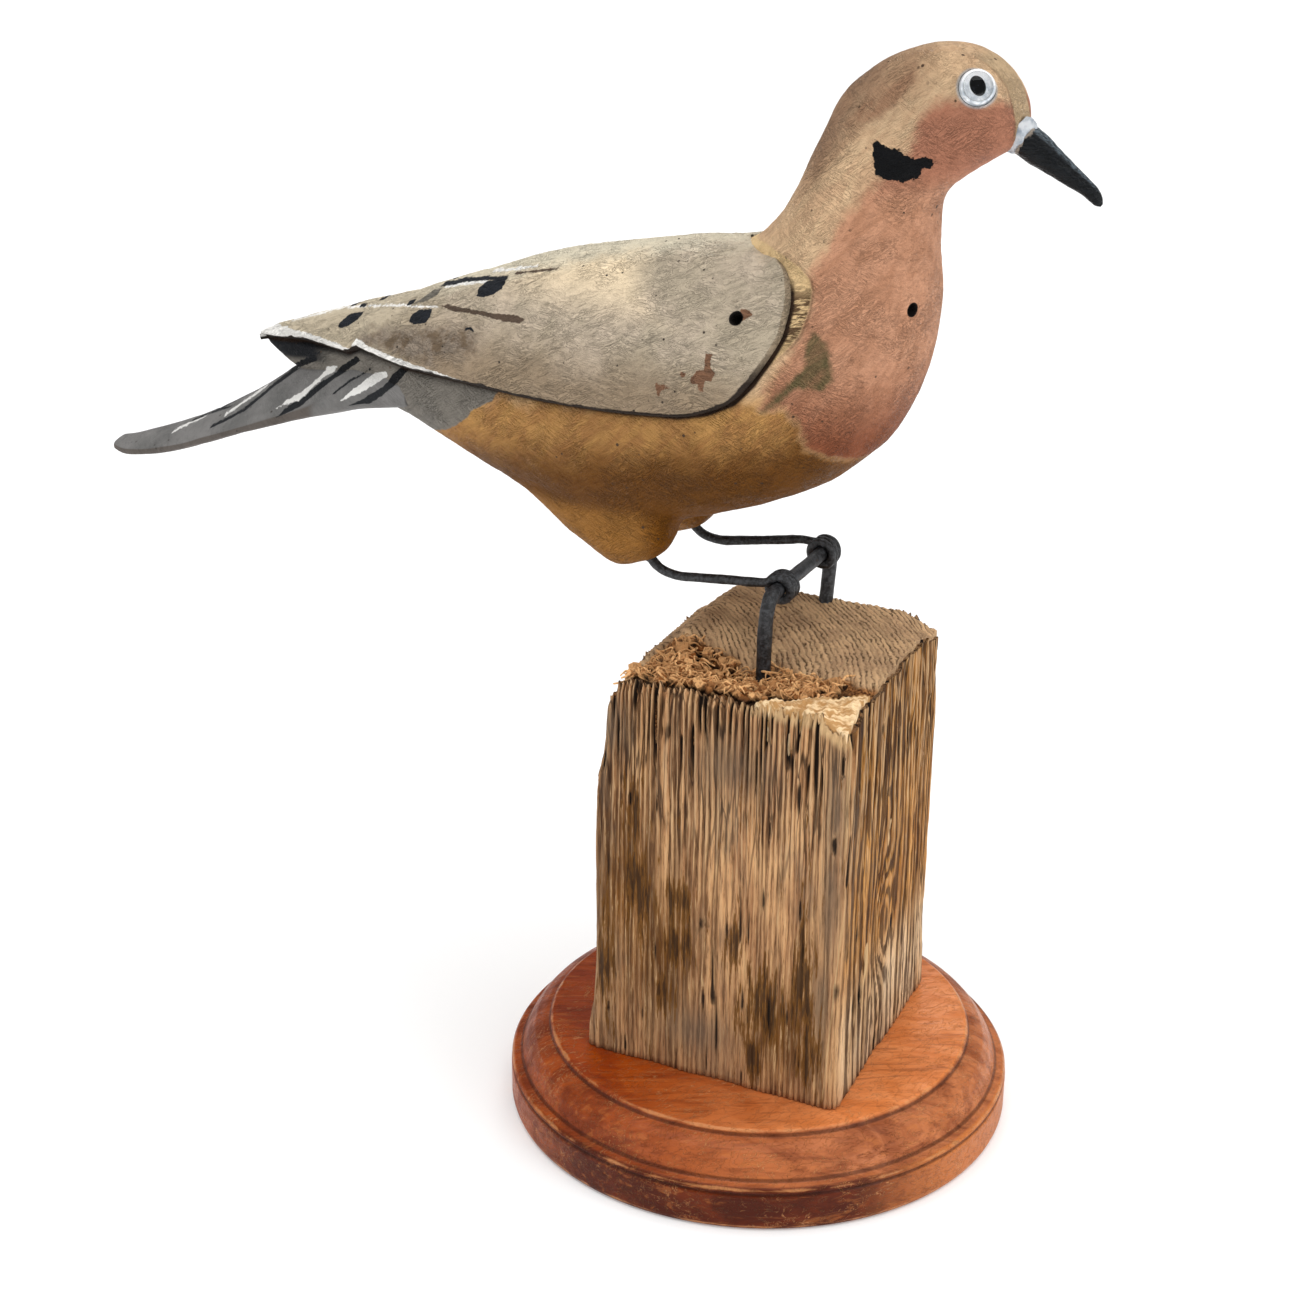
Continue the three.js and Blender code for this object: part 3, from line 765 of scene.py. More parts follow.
def aim(facing, side):
    x, out, z = facing
    return (x, side * out, z)


EYES = {
    "right": ([50.1, 12.8, 309.3], [0.4, 0.84, 0.36]),
    "left": ([45.2, 14.8, 307.6], [0.17, 0.95, 0.23]),
}
EYE_DIAMETER = 10.2
WING_HOLE = ([-8.4, 32, 245.8], [-0.15, 0.9, 0.4], 3.8)
BREAST_HOLE = ([35.1, 11.6, 248.4], [0.85, 0.5, -0.03], 3.6)

body_shell = rings_shell(rib_surface(BODY_RIBS, steps(260), angles(150)))
thigh_shells = [
    rings_shell(thigh_surface(steps(90), angles(70), side)) for side in SIDES.values()
]
tip_shell = rings_shell(rib_surface(TIP_RIBS, steps(90), angles(70)))
carved_body = remeshed("carved_body", [body_shell, tip_shell, *thigh_shells], SKIN_SPACING)
average(carved_body, 14)

skin = places(carved_body)
outward = normals(carved_body)
x, y, z = skin.T
to_side = smooth(abs(outward[:, 1]), 0.25, 0.55)
under_wing = inside(x, z, WING_OUTLINE)
hollow = 1.4 * smooth(inside(x, z, HOLLOW_EDGE), -0.3, 1.6) * to_side * (0.45 + 0.55 * smooth(z, 226, 240))
seam = 1.0 * (1 - smooth(abs(under_wing + 0.2), 0.4, 1.9)) * (1 - smooth(z, 222, 236)) * to_side
sunk = (1.5 + 1.6 * smooth(x, -45, -22) * (1 - smooth(z, 246, 256))) * smooth(under_wing, -0.2, 2.5)
facets = 0.35 * noise(skin, 14, 1) + 0.2 * noise(skin, 7, 2)
brush = 0.07 * noise(skin * [1, 1, 1.6], 1.8, 3) + 0.06 * noise(skin, 3.2, 4)
move_to(carved_body, skin + outward * (facets + brush - hollow - seam - sunk)[:, None])

for name, side in SIDES.items():
    centre, facing = EYES[name]
    drill(carved_body, on_side(centre, side), aim(facing, side), EYE_DIAMETER - 0.3, 1.4, "seat")
drill(carved_body, on_side(BREAST_HOLE[0], -1), aim(BREAST_HOLE[1], -1), BREAST_HOLE[2], 12, "hole")
drill(carved_body, on_side(WING_HOLE[0], -1), aim(WING_HOLE[1], -1), WING_HOLE[2], 14, "hole")
carved_body.data.shade_smooth()

skin = places(carved_body)
x, y, z = skin.T
mark(carved_body, "ear", inside(x, z, EAR_PATCH))
mark(carved_body, "pink", inside(x, z, PINK))
mark(carved_body, "smudge", inside(x, z, SMUDGE))
mark(carved_body, "olive", inside(x, z, OLIVE))
mark(carved_body, "rump", inside(x, z, RUMP))
mark(carved_body, "hollow", inside(x, z, HOLLOW_EDGE))
mark(carved_body, "shade", inside(x, z, WING_OUTLINE))
mark(carved_body, "tail_black", np.maximum(patches(x, z, TAIL_BLACK), strokes(x, z, TAIL_BLACK_LINES)))
mark(carved_body, "tail_white", patches(x, z, TAIL_WHITE))
mark(carved_body, "facing", normals(carved_body)[:, 0])
right_eye = np.array(on_side(EYES["right"][0], -1))
left_eye = np.array(on_side(EYES["left"][0], 1))
from_eye = np.minimum(*(np.linalg.norm(skin - eye, axis=1) for eye in (right_eye, left_eye)))
mark(carved_body, "socket", from_eye)
hole_axis = np.array(aim(BREAST_HOLE[1], -1)) / np.linalg.norm(BREAST_HOLE[1])
from_hole = skin - np.array(on_side(BREAST_HOLE[0], -1))
off_axis = np.linalg.norm(from_hole - (from_hole @ hole_axis)[:, None] * hole_axis, axis=1)
mark(carved_body, "bore", BREAST_HOLE[2] / 2 + 0.25 - off_axis)

# %% [markdown]
# The folded wings
#
# Both wings lap over the body as one saddle. Lines run from the wings' edge on one side over
# the back to the other, fanned round the front, and the edge is rounded over and turned in
# under the wing, so that it throws a shadow on the body.

# %%
WING_LINES = 460
WING_ACROSS = 95
WING_EDGE_RADIUS = 1.3


def edge_curve(count):
    """The wing's edge at equal steps of length: a curve round the front, then the straight steps."""
    front = blend_rows(WING_FRONT, np.linspace(0, 1, 1200))
    chain = np.vstack([front, WING_STEP])
    length = np.concatenate([[0], np.cumsum(np.hypot(*np.diff(chain, axis=0).T))])
    at = np.linspace(0, length[-1], count)
    return np.stack([np.interp(at, length, chain[:, k]) for k in (0, 1)], -1), at


def on_ribs(ribs, points):
    """For places (x, z) seen from the side: the t and angle that give them on a rib surface."""
    t = np.linspace(0, 1, 3000)
    rib = blend_rows(ribs, t)
    back, belly = rib[:, 0:2], rib[:, 2:4]
    span = belly - back
    reach = points[:, None] - back[None]
    off = (reach[..., 0] * span[:, 1] - reach[..., 1] * span[:, 0]) / np.linalg.norm(span, axis=1)
    share = (reach * span).sum(-1) / (span**2).sum(-1)
    miss = abs(off) + 100 * np.clip(abs(share - 0.5) - 0.5, 0, None)
    best = miss.argmin(1)
    up = np.clip(1 - 2 * share[np.arange(len(points)), best], -1, 1)
    squareness = rib[best, 6]
    return t[best], np.arccos(np.sign(up) * abs(up) ** (squareness / 2))


edge, edge_length = edge_curve(WING_LINES)
edge_t, edge_angle = on_ribs(WING_RIBS, edge)
front_end = edge_length[np.argmin(np.hypot(*(edge - [-23.1, 217.3]).T))]
back_x = np.interp(edge_length, [0, front_end, edge_length[-1]], [-17.5, -37, -187])
dense_t = np.linspace(0, 1, 2000)
back_t = np.interp(back_x, blend_rows(WING_RIBS, dense_t)[:, 0], dense_t)
across = np.linspace(-1, 1, 2 * WING_ACROSS + 1)[None]
wing_t = back_t[:, None] + (edge_t - back_t)[:, None] * abs(across)
wing_angle = edge_angle[:, None] * across
wing = rib_surface(WING_RIBS, wing_t, wing_angle)


def grid_normals(points):
    """Directions square to a grid of points."""
    down, right = np.gradient(points, axis=0), np.gradient(points, axis=1)
    square = np.cross(down, right)
    return square / np.linalg.norm(square, axis=-1, keepdims=True).clip(1e-9)


wing_out = grid_normals(wing)
if wing_out[..., 2].mean() < 0:
    wing_out = -wing_out
wing_out[:6], wing_out[-5:] = wing_out[6], wing_out[-6]
step = np.linalg.norm(np.diff(wing, axis=1), axis=-1)
left_in = np.concatenate([np.zeros((WING_LINES, 1)), np.cumsum(step, 1)], 1)
from_edge = np.minimum(left_in, left_in[:, -1:] - left_in)
inset = np.clip(WING_EDGE_RADIUS - from_edge, 0, None)
drop = WING_EDGE_RADIUS - np.sqrt(WING_EDGE_RADIUS**2 - inset**2)
from_front = np.arange(WING_LINES)[:, None] * 0.4
dive = 1.3 * (1 - smooth(from_front, 0, 6))
settle = 2.3 * (1 - smooth(from_edge, 0, 18)) * smooth(wing[:, :1, 2] + wing[:, -1:, 2], 448, 474)
facets = 0.35 * noise(wing, 16, 5) + 0.16 * noise(wing, 6, 6)
wavy = wing * [0.45, 1, 1] + 1.2 * noise(wing, 5, 9)[..., None]
brush = 0.24 * (1 - 2.2 * abs(noise(wavy, 1.8, 7))) + 0.05 * noise(wing, 0.9, 8)
wx, wz = wing[..., 0], wing[..., 2]
carved = np.min([to_line(wx, wz, line) for line, _ in WHITE_LINES[1:2]], 0)
relief = facets + brush - 0.3 * (1 - smooth(carved, 0.2, 1.0)) - drop - dive - settle
wing = wing + wing_out * relief[..., None]

wall = 2.6
rims = []
for column in (0, -1):
    rim, out = wing[:, column], wing_out[:, column]
    inward = np.array([0, np.sign(BIRD_MIDDLE - rim[WING_LINES // 2, 1]), 0])
    low_rim = rim - out * wall
    tucked = low_rim + np.clip(abs(rim[:, 1:2] - BIRD_MIDDLE) * 0.9, 0, 4) * inward + [0, 0, 1.5]
    rims.append((low_rim, tucked))
(left_low, left_tucked), (right_low, right_tucked) = rims
ring = np.concatenate(
    [wing, right_low[:, None], right_tucked[:, None], left_tucked[:, None], left_low[:, None]], 1
)
wings = make_mesh("wings", *rings_shell(ring))
drill(wings, on_side(WING_HOLE[0], -1), aim(WING_HOLE[1], -1), WING_HOLE[2], 14, "hole")
wings.data.shade_smooth()

x, y, z = places(wings).T
mark(wings, "spots", np.maximum(patches(x, z, SPOTS), strokes(x, z, DOTS)))
mark(wings, "stripe", np.maximum(inside(x, z, BROWN_STRIPE), strokes(x, z, [(THIN_BROWN, 0.25)])))
mark(wings, "grey", inside(x, z, GREY_STROKE))
mark(wings, "white", np.maximum(strokes(x, z, WHITE_LINES) - 0.1, patches(x, z, RIM_WHITE) + 0.5))
mark(wings, "patch", inside(x, z, BROWN_PATCH))
mark(wings, "worn", patches(x, z, WORN))
rim = inside(x, z, WING_OUTLINE)
outward = normals(wings)
forward = outward[:, 0] * smooth(x, -25, -12) * (1 - smooth(rim, 0.8, 2.0)) * 0.85
mark(wings, "rim", rim)
# Where the wing faces down, or forward at its front edge, for the painted shade on its rim.
mark(wings, "down", np.maximum(-outward[:, 2], forward))
above = np.interp(x, [p[0] for p in YELLOW_BACK], [p[1] for p in YELLOW_BACK])
mark(wings, "back", z - above)
hole_axis = np.array(aim(WING_HOLE[1], -1)) / np.linalg.norm(WING_HOLE[1])
from_hole = np.stack([x, y, z], -1) - np.array(on_side(WING_HOLE[0], -1))
off_axis = np.linalg.norm(from_hole - (from_hole @ hole_axis)[:, None] * hole_axis, axis=1)
mark(wings, "bore", WING_HOLE[2] / 2 + 0.2 - off_axis)

# %% [markdown]
# The tail
#
# A flat wedge with a low roof on top, cut with slanting feather grooves.


# %%
def tail_surface(t, angle):
    rib = blend_rows(TAIL_RIBS, t)
    across, up = superellipse(angle, TAIL_SQUARENESS)
    edge_thick, ridge = rib[..., 3], rib[..., 4]
    thick = edge_thick + (ridge - edge_thick) * (1 - abs(across) ** TAIL_RIDGE_POWER)
    y = BIRD_MIDDLE + rib[..., 2] * across
    z = rib[..., 1] + thick * (1 + up) / 2
    return np.stack([rib[..., 0] + 0 * up, y, z], -1)


tail_grid = tail_surface(steps(300), angles(150))
tail = make_mesh("tail", *rings_shell(tail_grid))
skin, outward = places(tail), normals(tail)
x, y, z = skin.T
on_top = np.maximum(smooth(outward[:, 2], 0.15, 0.4), smooth(x, -168, -158) * (outward[:, 2] > -0.4))
black = np.maximum(patches(x, z, TAIL_BLACK), strokes(x, z, TAIL_BLACK_LINES))
white = np.maximum(patches(x, z, TAIL_WHITE), strokes(x, z, TAIL_WHITE_LINES))
facets = 0.25 * noise(skin, 12, 11) + 0.12 * noise(skin * [0.4, 1, 1], 3, 12)
feather = 0.45 * smooth(black, -0.5, 0.7) * on_top
move_to(tail, skin + outward * (facets - feather)[:, None])
mark(tail, "white", np.where(on_top > 0.5, white, -3))
mark(tail, "black", np.where(on_top > 0.5, black, -3))
mark(tail, "up", np.maximum(outward[:, 2], smooth(x, -170, -140)))

# %% [markdown]
# Paint on the bird
#
# House paint laid on thick with a stiff brush: colour patches with ragged edges, streaks, specks where the wood shows,
# and painted shade between the brush marks with a painted highlight on their tops.


# %%
def ragged(paint, name, reach=0.6, scale=900, soft=0.25):
    """A patch's share, with its edge moved to and fro by a fine pattern."""
    wander = paint.math("SUBTRACT", paint.noise(scale, 5, 0.65), 0.5)
    edge_at = paint.math("MULTIPLY_ADD", wander, 2 * reach, paint.mark(name))
    return paint.band(edge_at, -soft, soft)


def brush_marks(paint, length, width, leans):
    """Height of brush marks: thin curled ridges of that length and width, in patches of two leans."""
    ridges = []
    for lean in leans:
        field = paint.noise(1.0, 3, 0.55, paint.lay((length, width * 2, width), (0, lean, 0)), 0.9)
        off = paint.math("ABSOLUTE", paint.math("SUBTRACT", field, 0.5))
        ridges.append(paint.band(off, 0.085, 0.01))
    pick = paint.band(paint.noise(110, 2), 0.44, 0.56)
    ridge = paint.add("ShaderNodeMix", {0: pick, 2: ridges[0], 3: ridges[1]}).outputs[0]
    ridge = paint.math("MULTIPLY", ridge, paint.band(paint.noise(75, 3), 0.4, 0.62, 0.25, 1.1))
    swell = paint.noise(1.0, 3, 0.6, paint.lay((length, width * 3, width * 2), (0, leans[0], 0)), 0.5)
    fine = paint.noise(2600, 2, 0.5)
    height = paint.math("MULTIPLY_ADD", swell, 0.9, paint.math("MULTIPLY", ridge, 0.55))
    return paint.math("MULTIPLY_ADD", fine, 0.22, height)


def relief_shade_and_highlight(paint, color, height, dark=0.78, light=1.14):
    """Painted shade between the brush marks and a painted highlight on their tops: colour darker where the height is
    low, lighter where it is high.
    """
    color = paint.tint(paint.band(height, 0.66, 0.46), color, dark)
    return paint.tint(paint.band(height, 0.84, 1.14), color, light)


def specks(paint, color, scale, share, code):
    """Small spots where grit sticks in the paint."""
    spot = paint.band(paint.cells(scale), share, share * 0.55)
    some = paint.band(paint.noise(scale * 0.35, 2), 0.52, 0.6)
    return paint.mix(paint.math("MULTIPLY", spot, some), color, rgb(code))


def body_paint():
    paint = Paint("body_paint")
    separate = paint.add("ShaderNodeSeparateXYZ", {0: paint.place})
    front, aside, height = (separate.outputs[axis] for axis in "XYZ")
    streaky = paint.noise(1.0, 4, 0.6, paint.lay((0.014, 0.006, 0.004), (0, -0.9, 0)), 0.6)
    streak = paint.band(streaky, 0.35, 0.65)

    def both(*shares):
        product = shares[0]
        for share in shares[1:]:
            product = paint.math("MULTIPLY", product, share)
        return product

    tan = paint.mix(streak, rgb("cda884"), rgb("dbb992"))
    crown = paint.band(paint.math("MULTIPLY_ADD", streaky, 0.02, height), 0.314, 0.33)
    tan = paint.mix(crown, tan, rgb("e5b080"))
    tan = paint.mix(both(paint.band(height, 0.282, 0.3), 0.8), tan, paint.mix(streak, rgb("bf9e7c"), rgb("cdb08d")))
    # Painted shade on the back of the neck, where it faces backwards.
    behind = both(paint.band(paint.mark("facing"), 0.1, -0.6), paint.band(height, 0.272, 0.29))
    tan = paint.mix(both(behind, 0.85), tan, rgb("886851"))
    pink_share = ragged(paint, "pink", 2.8, 240, 2.2)
    pink = paint.mix(streak, rgb("b28062"), rgb("c59172"))
    pink = paint.mix(both(paint.band(height, 0.276, 0.288), 0.8), pink, rgb("a26b54"))
    # Painted shade: the pink darker on the lower breast.
    pink = paint.mix(both(paint.band(height, 0.238, 0.206), 0.95), pink, rgb("7e4328"))
    color = paint.mix(pink_share, tan, pink)
    slope = paint.math("MULTIPLY_ADD", paint.math("MAXIMUM", front, 0.0), -0.75, height)
    slope = paint.math("MULTIPLY_ADD", paint.math("MINIMUM", front, 0.0), -0.14, slope)
    wander = paint.math("MULTIPLY_ADD", paint.noise(120, 4), 0.012, slope)
    not_pink = paint.math("SUBTRACT", 1.0, pink_share)
    ochre = paint.mix(streak, rgb("a67746"), rgb("b88a50"))
    color = paint.mix(both(paint.band(wander, 0.238, 0.226), not_pink), color, ochre)
    # Darker ochre low on the belly: partly the paint's own colour, partly painted shade.
    color = paint.mix(both(paint.band(wander, 0.225, 0.206), 0.95, not_pink), color, rgb("643c0e"))
    color = paint.mix(both(paint.band(wander, 0.2, 0.182), 0.6), color, rgb("8b5506"))
    thigh = both(paint.band(height, 0.186, 0.178), paint.band(front, -0.036, -0.044))
    color = paint.mix(both(thigh, 0.7), color, rgb("a9773c"))
    off_middle = paint.math("ABSOLUTE", paint.math("SUBTRACT", aside, BIRD_MIDDLE * MM))
    brow = both(paint.band(front, 0.044, 0.05), paint.band(height, 0.294, 0.298))
    color = paint.mix(both(brow, paint.band(off_middle, 0.0066, 0.0058), 0.5), color, rgb("84674a"))
    color = paint.mix(both(brow, paint.band(off_middle, 0.0058, 0.005)), color, rgb("b89d7b"))
    smudge = both(ragged(paint, "smudge", 2.4, 260, 1.8), paint.band(streaky, 0.4, 0.6, 0.35, 0.95))
    color = paint.mix(smudge, color, rgb("997459"))
    olive = both(ragged(paint, "olive", 1.4, 420, 0.9), paint.band(streaky, 0.3, 0.6, 0.55, 1.0))
    color = paint.mix(olive, color, rgb("635739"))
    dust = paint.noise(60, 4, 0.6)
    color = paint.tint(paint.band(dust, 0.55, 0.75), color, 0.86)
    grey = paint.mix(dust, rgb("716c64"), rgb("807a71"))
    grey = paint.mix(ragged(paint, "tail_black", 0.6, 700, 0.15), grey, rgb("0b0d10"))
    grey = paint.mix(ragged(paint, "tail_white", 0.9, 700, 0.15), grey, rgb("dcdad6"))
    tip_shade = both(paint.band(front, -0.15, -0.162), paint.band(paint.mark("shade"), -7.5, -5.0))
    grey = paint.mix(tip_shade, grey, rgb("15171b"))
    # Painted shadow on the rump under the wing's rim.
    shadow_under_rim = both(paint.band(paint.mark("shade"), -3.2, -0.6), paint.band(front, -0.128, -0.14))
    grey = paint.mix(shadow_under_rim, grey, rgb("181a1e"))
    color = paint.mix(ragged(paint, "rump", 0.8, 500), color, grey)
    in_hollow = paint.band(paint.mark("hollow"), 0.2, 1.2)
    comb = paint.noise(1.0, 3, 0.6, paint.lay((0.005, 0.002, 0.0007), (0, -0.15, 0)), 0.3)
    middle = both(paint.band(height, 0.236, 0.242), paint.band(height, 0.257, 0.251))
    deep = both(middle, in_hollow, paint.band(comb, 0.56, 0.46), 0.9)
    color = paint.mix(both(in_hollow, 0.75), color, rgb("eaca95"))
    color = paint.mix(deep, color, rgb("4e3523"))
    # Painted shade along the hollow's outer edge.
    hollow_edge_shade = paint.band(paint.math("ABSOLUTE", paint.mark("hollow")), 0.5, 0.15)
    color = paint.mix(both(hollow_edge_shade, paint.band(height, 0.234, 0.24), paint.band(height, 0.262, 0.256), 0.45), color, rgb("6d5236"))
    shade = both(paint.band(paint.mark("shade"), -1.8, -1.0), paint.band(height, 0.2575, 0.2525))
    color = paint.mix(shade, color, rgb("332318"))
    hazy = paint.band(paint.mark("socket"), 6.0, 5.0)
    color = paint.mix(both(hazy, 0.8), color, rgb("b2b6b8"))
    bumps = brush_marks(paint, 0.0042, 0.00085, (-0.6, 0.5))
    color = relief_shade_and_highlight(paint, color, bumps, 0.84, 1.1)
    color = specks(paint, color, 260, 0.16, "4c3a2c")
    color = paint.mix(ragged(paint, "ear", 1.7, 650, 0.1), color, rgb("040508"))
    # Painted shade inside the drilled hole.
    color = paint.mix(paint.band(paint.mark("bore"), -0.15, 0.1), color, rgb("120c08"))
    normal = paint.bump(bumps, 0.0008, 1.0)
    return paint.finish(color, paint.band(bumps, 0.5, 1.1, 0.72, 0.5), normal, Specular_IOR_Level=0.14)


def wing_paint():
    paint = Paint("wing_paint")
    bumps = brush_marks(paint, 0.007, 0.0013, (-0.45, 0.12))
    cloud = paint.noise(55, 4, 0.6)
    color = paint.mix(paint.band(cloud, 0.35, 0.65), rgb("b4a690"), rgb("c5b49f"))
    inner = paint.math("MULTIPLY_ADD", cloud, 7.0, paint.mark("rim"))
    across = paint.add("ShaderNodeSeparateXYZ", {0: paint.place})
    # Darker low on the wing: partly the paint's own colour, partly painted shade.
    lower = paint.math("MULTIPLY_ADD", cloud, 0.012, across.outputs["Z"])
    color = paint.mix(paint.band(lower, 0.244, 0.226, 0.0, 0.85), color, rgb("937e65"))
    # Lighter far from the wing's edge, high on the wing: partly the paint's own colour, partly painted light from
    # above.
    color = paint.mix(paint.band(inner, 24.0, 40.0, 0.0, 0.9), color, rgb("f4ddb9"))
    color = paint.mix(ragged(paint, "back", 3.0, 160, 2.5), color, rgb("d8ceb6"))
    color = paint.mix(paint.band(across.outputs["X"], -0.1, -0.14, 0.0, 0.7), color, rgb("cec1a8"))
    patch = paint.math("MULTIPLY", ragged(paint, "patch", 4, 200, 2.5), 0.9)
    color = paint.mix(patch, color, paint.mix(paint.band(paint.noise(150, 5, 0.7), 0.42, 0.58), rgb("65533f"), rgb("8f8172")))
    color = relief_shade_and_highlight(paint, color, bumps, 0.82, 1.14)
    color = specks(paint, color, 300, 0.15, "3e352c")
    color = paint.mix(ragged(paint, "worn", 0.9, 600, 0.12), color, rgb("7a5740"))
    color = paint.mix(ragged(paint, "grey", 0.5, 600), color, rgb("6f6a60"))
    color = paint.mix(ragged(paint, "stripe", 0.5, 700, 0.15), color, rgb("564639"))
    color = paint.mix(ragged(paint, "white", 0.8, 700, 0.15), color, rgb("f4f1eb"))
    color = paint.mix(ragged(paint, "spots", 0.4, 900, 0.12), color, rgb("171b22"))
    # Painted shade on the rim where it faces down and on the front edge's wall: dark low down, grey-brown higher up.
    edge = paint.math("MULTIPLY_ADD", paint.noise(420, 4, 0.65), 0.5, paint.mark("down"))
    wall = paint.mix(paint.band(across.outputs["Z"], 0.228, 0.24), rgb("2a211b"), rgb("93836d"))
    color = paint.mix(paint.band(edge, 0.4, 0.62), color, wall)
    # Painted shade inside the drilled hole.
    color = paint.mix(paint.band(paint.mark("bore"), -0.15, 0.1), color, rgb("120c08"))
    normal = paint.bump(bumps, 0.0012, 1.0)
    return paint.finish(color, paint.band(bumps, 0.5, 1.1, 0.75, 0.55), normal, Specular_IOR_Level=0.22)


def tail_paint():
    paint = Paint("tail_paint")
    bumps = brush_marks(paint, 0.006, 0.0008, (0.75, 0.45))
    color = paint.mix(paint.band(paint.noise(60, 4, 0.6), 0.35, 0.65), rgb("646361"), rgb("777573"))
    side = paint.band(paint.mark("up"), 0.62, 0.4)
    color = paint.mix(paint.math("MULTIPLY", side, 0.85), color, rgb("544b44"))
    color = relief_shade_and_highlight(paint, color, bumps, 0.85, 1.08)
    color = paint.mix(ragged(paint, "black", 0.6, 700, 0.15), color, rgb("111418"))
    color = paint.mix(ragged(paint, "white", 0.9, 700, 0.15), color, rgb("dcdad6"))
    color = specks(paint, color, 280, 0.15, "3a3430")
    return paint.finish(color, 0.6, paint.bump(bumps, 0.0003, 0.9), Specular_IOR_Level=0.25)


finish_piece(carved_body, ["dove_body"], body_paint())
finish_piece(wings, ["dove_body"], wing_paint())
finish_piece(tail, ["dove_body"], tail_paint())

# %% [markdown]
# The glass eyes
#
# A clear glass cap sits over a whitish disc with a black pupil, each a profile turned about
# the eye's axis. The pupil is an oval that leans back, as in the photograph.


# %%
def eye_frame(name):
    """Three directions: across the eye, up it, and the way it faces."""
    facing = np.array(aim(EYES[name][1], SIDES[name]))
    facing /= np.linalg.norm(facing)
    across = np.cross([0, 0, 1], facing)
    across /= np.linalg.norm(across)
    return np.stack([across, np.cross(facing, across), facing])


def turned(profile, around, wide=1.0, high=1.0, lean=0.0):
    """A profile of (radius, height) turned about an axis, made oval and leaned."""
    angle = angles(around)
    radius, height = np.asarray(profile, float).T[:, :, None]
    u, v = wide * radius * np.cos(angle), high * radius * np.sin(angle)
    c, s = math.cos(lean), math.sin(lean)
    return np.stack([c * u - s * v, s * u + c * v, height + 0 * angle], -1)


def dome(radius, low, high, rounds=24):
    """A profile from the middle of a flat back, round the rim and over a low dome."""
    t = np.linspace(0, np.pi / 2, rounds)
    over = np.stack([radius * np.cos(t), low + (high - low) * np.sin(t)], -1)[:-1]
    back = [[0.02, low - 0.3], [radius - 0.4, low - 0.3], [radius - 0.08, low - 0.2]]
    return np.vstack([back, over, [[0.02, high]]])


DISH = [[0.02, -1.2], [4.4, -1.2], [4.6, -0.5], [4.5, 0.1], [4.3, 0.45], [4.05, 0.55], [3.9, 0.5], [3.8, 0.4], [0.02, 0.4]]

eye_parts = []
for name, side in SIDES.items():
    axes, centre = eye_frame(name), np.array(on_side(EYES[name][0], side))

    def placed(points, u=0.0, v=0.0):
        return (points + [u, v, 0]) @ axes + centre

    lip = blend_rows(DISH, np.linspace(0, 1, 90))
    cap = make_mesh(f"eye_glass_{name}", *rings_shell(placed(turned(dome(3.85, 0.75, 2.2), 96))))
    disc = make_mesh(f"eye_disc_{name}", *rings_shell(placed(turned(lip, 96))))
    oval = turned(dome(1.0, 0.1, 0.25), 48, 1.95, 2.65, -side * 0.42)
    pupil = make_mesh(f"eye_pupil_{name}", *rings_shell(placed(oval + [0, 0, 0.26], side * 0.1, 0.1)))
    eye_parts.append((name, cap, disc, pupil))

glass = Paint("eye_glass")
glass_coat = glass.finish(
    (1, 1, 1), 0.03, glass.bump(glass.noise(500, 2), 0.00004), Transmission_Weight=1.0, IOR=1.3
)
disc_paint = Paint("eye_white")
cloud = disc_paint.band(disc_paint.noise(480, 4, 0.6, warp=0.8), 0.35, 0.66)
eye_height = disc_paint.add("ShaderNodeSeparateXYZ", {0: disc_paint.place}).outputs["Z"]
# Painted highlight: the disc whiter towards its top.
top_highlight = disc_paint.band(eye_height, 0.3085, 0.313)
disc_coat = disc_paint.finish(
    disc_paint.mix(top_highlight, disc_paint.mix(cloud, rgb("b2bcc5"), rgb("eef2f5")), rgb("fcfdff")),
    0.22,
    disc_paint.bump(disc_paint.noise(900, 3), 0.0001, 0.6),
    Coat_Weight=0.6,
    Coat_Roughness=0.1,
)
pupil_paint = Paint("eye_black")
shine = pupil_paint.band(pupil_paint.noise(700, 2), 0.4, 0.7)
pupil_coat = pupil_paint.finish(
    pupil_paint.mix(shine, rgb("030405"), rgb("0c0e12")), 0.15, Specular_IOR_Level=0.15
)
for name, cap, disc, pupil in eye_parts:
    finish_piece(cap, [f"eye_{name}"], glass_coat)
    finish_piece(disc, [f"eye_{name}"], disc_coat)
    finish_piece(pupil, [f"eye_{name}"], pupil_coat)

# %% [markdown]
# The bill and its glue
#
# The bill is a whittled peg with a narrow flat on top, painted black. The glue that holds it
# has squeezed out in a lumpy, milky bead.

# %%
BILL_ROOT = np.array([59.7, BIRD_MIDDLE, 293.5])
BILL_TURN = math.radians(32.8)
BILL_RIBS = [
    [-0.5, 5.2, -3.6, 3.9],
    [4.5, 5, -3.3, 3.6],
    [9, 4.4, -2.6, 3.1],
    [14, 3.7, -2, 2.6],
    [19, 3.2, -1.3, 2.1],
    [22.5, 2.7, -1.2, 1.8],
    [24.8, 1.6, -1.2, 1.3],
    [26, 0.3, -0.6, 0.5],
]
BILL_AXES = np.array(
    [
        [math.cos(BILL_TURN), 0, -math.sin(BILL_TURN)],
        [0, 1, 0],
        [math.sin(BILL_TURN), 0, math.cos(BILL_TURN)],
    ]
)


def bill_surface(t, angle):
    """A squared oval whose upper corners are cut to leave a narrow flat on top."""
    rib = blend_rows(BILL_RIBS, t)
    across, up = superellipse(angle, 2.3)
    shoulder = 1.16 - 0.62 * np.clip(up, 0, None)
    across = np.clip(across, -shoulder, shoulder)
    middle, reach = (rib[..., 1] + rib[..., 2]) / 2, (rib[..., 1] - rib[..., 2]) / 2
    return np.stack([rib[..., 0] + 0 * up, rib[..., 3] * across, middle + reach * up], -1)


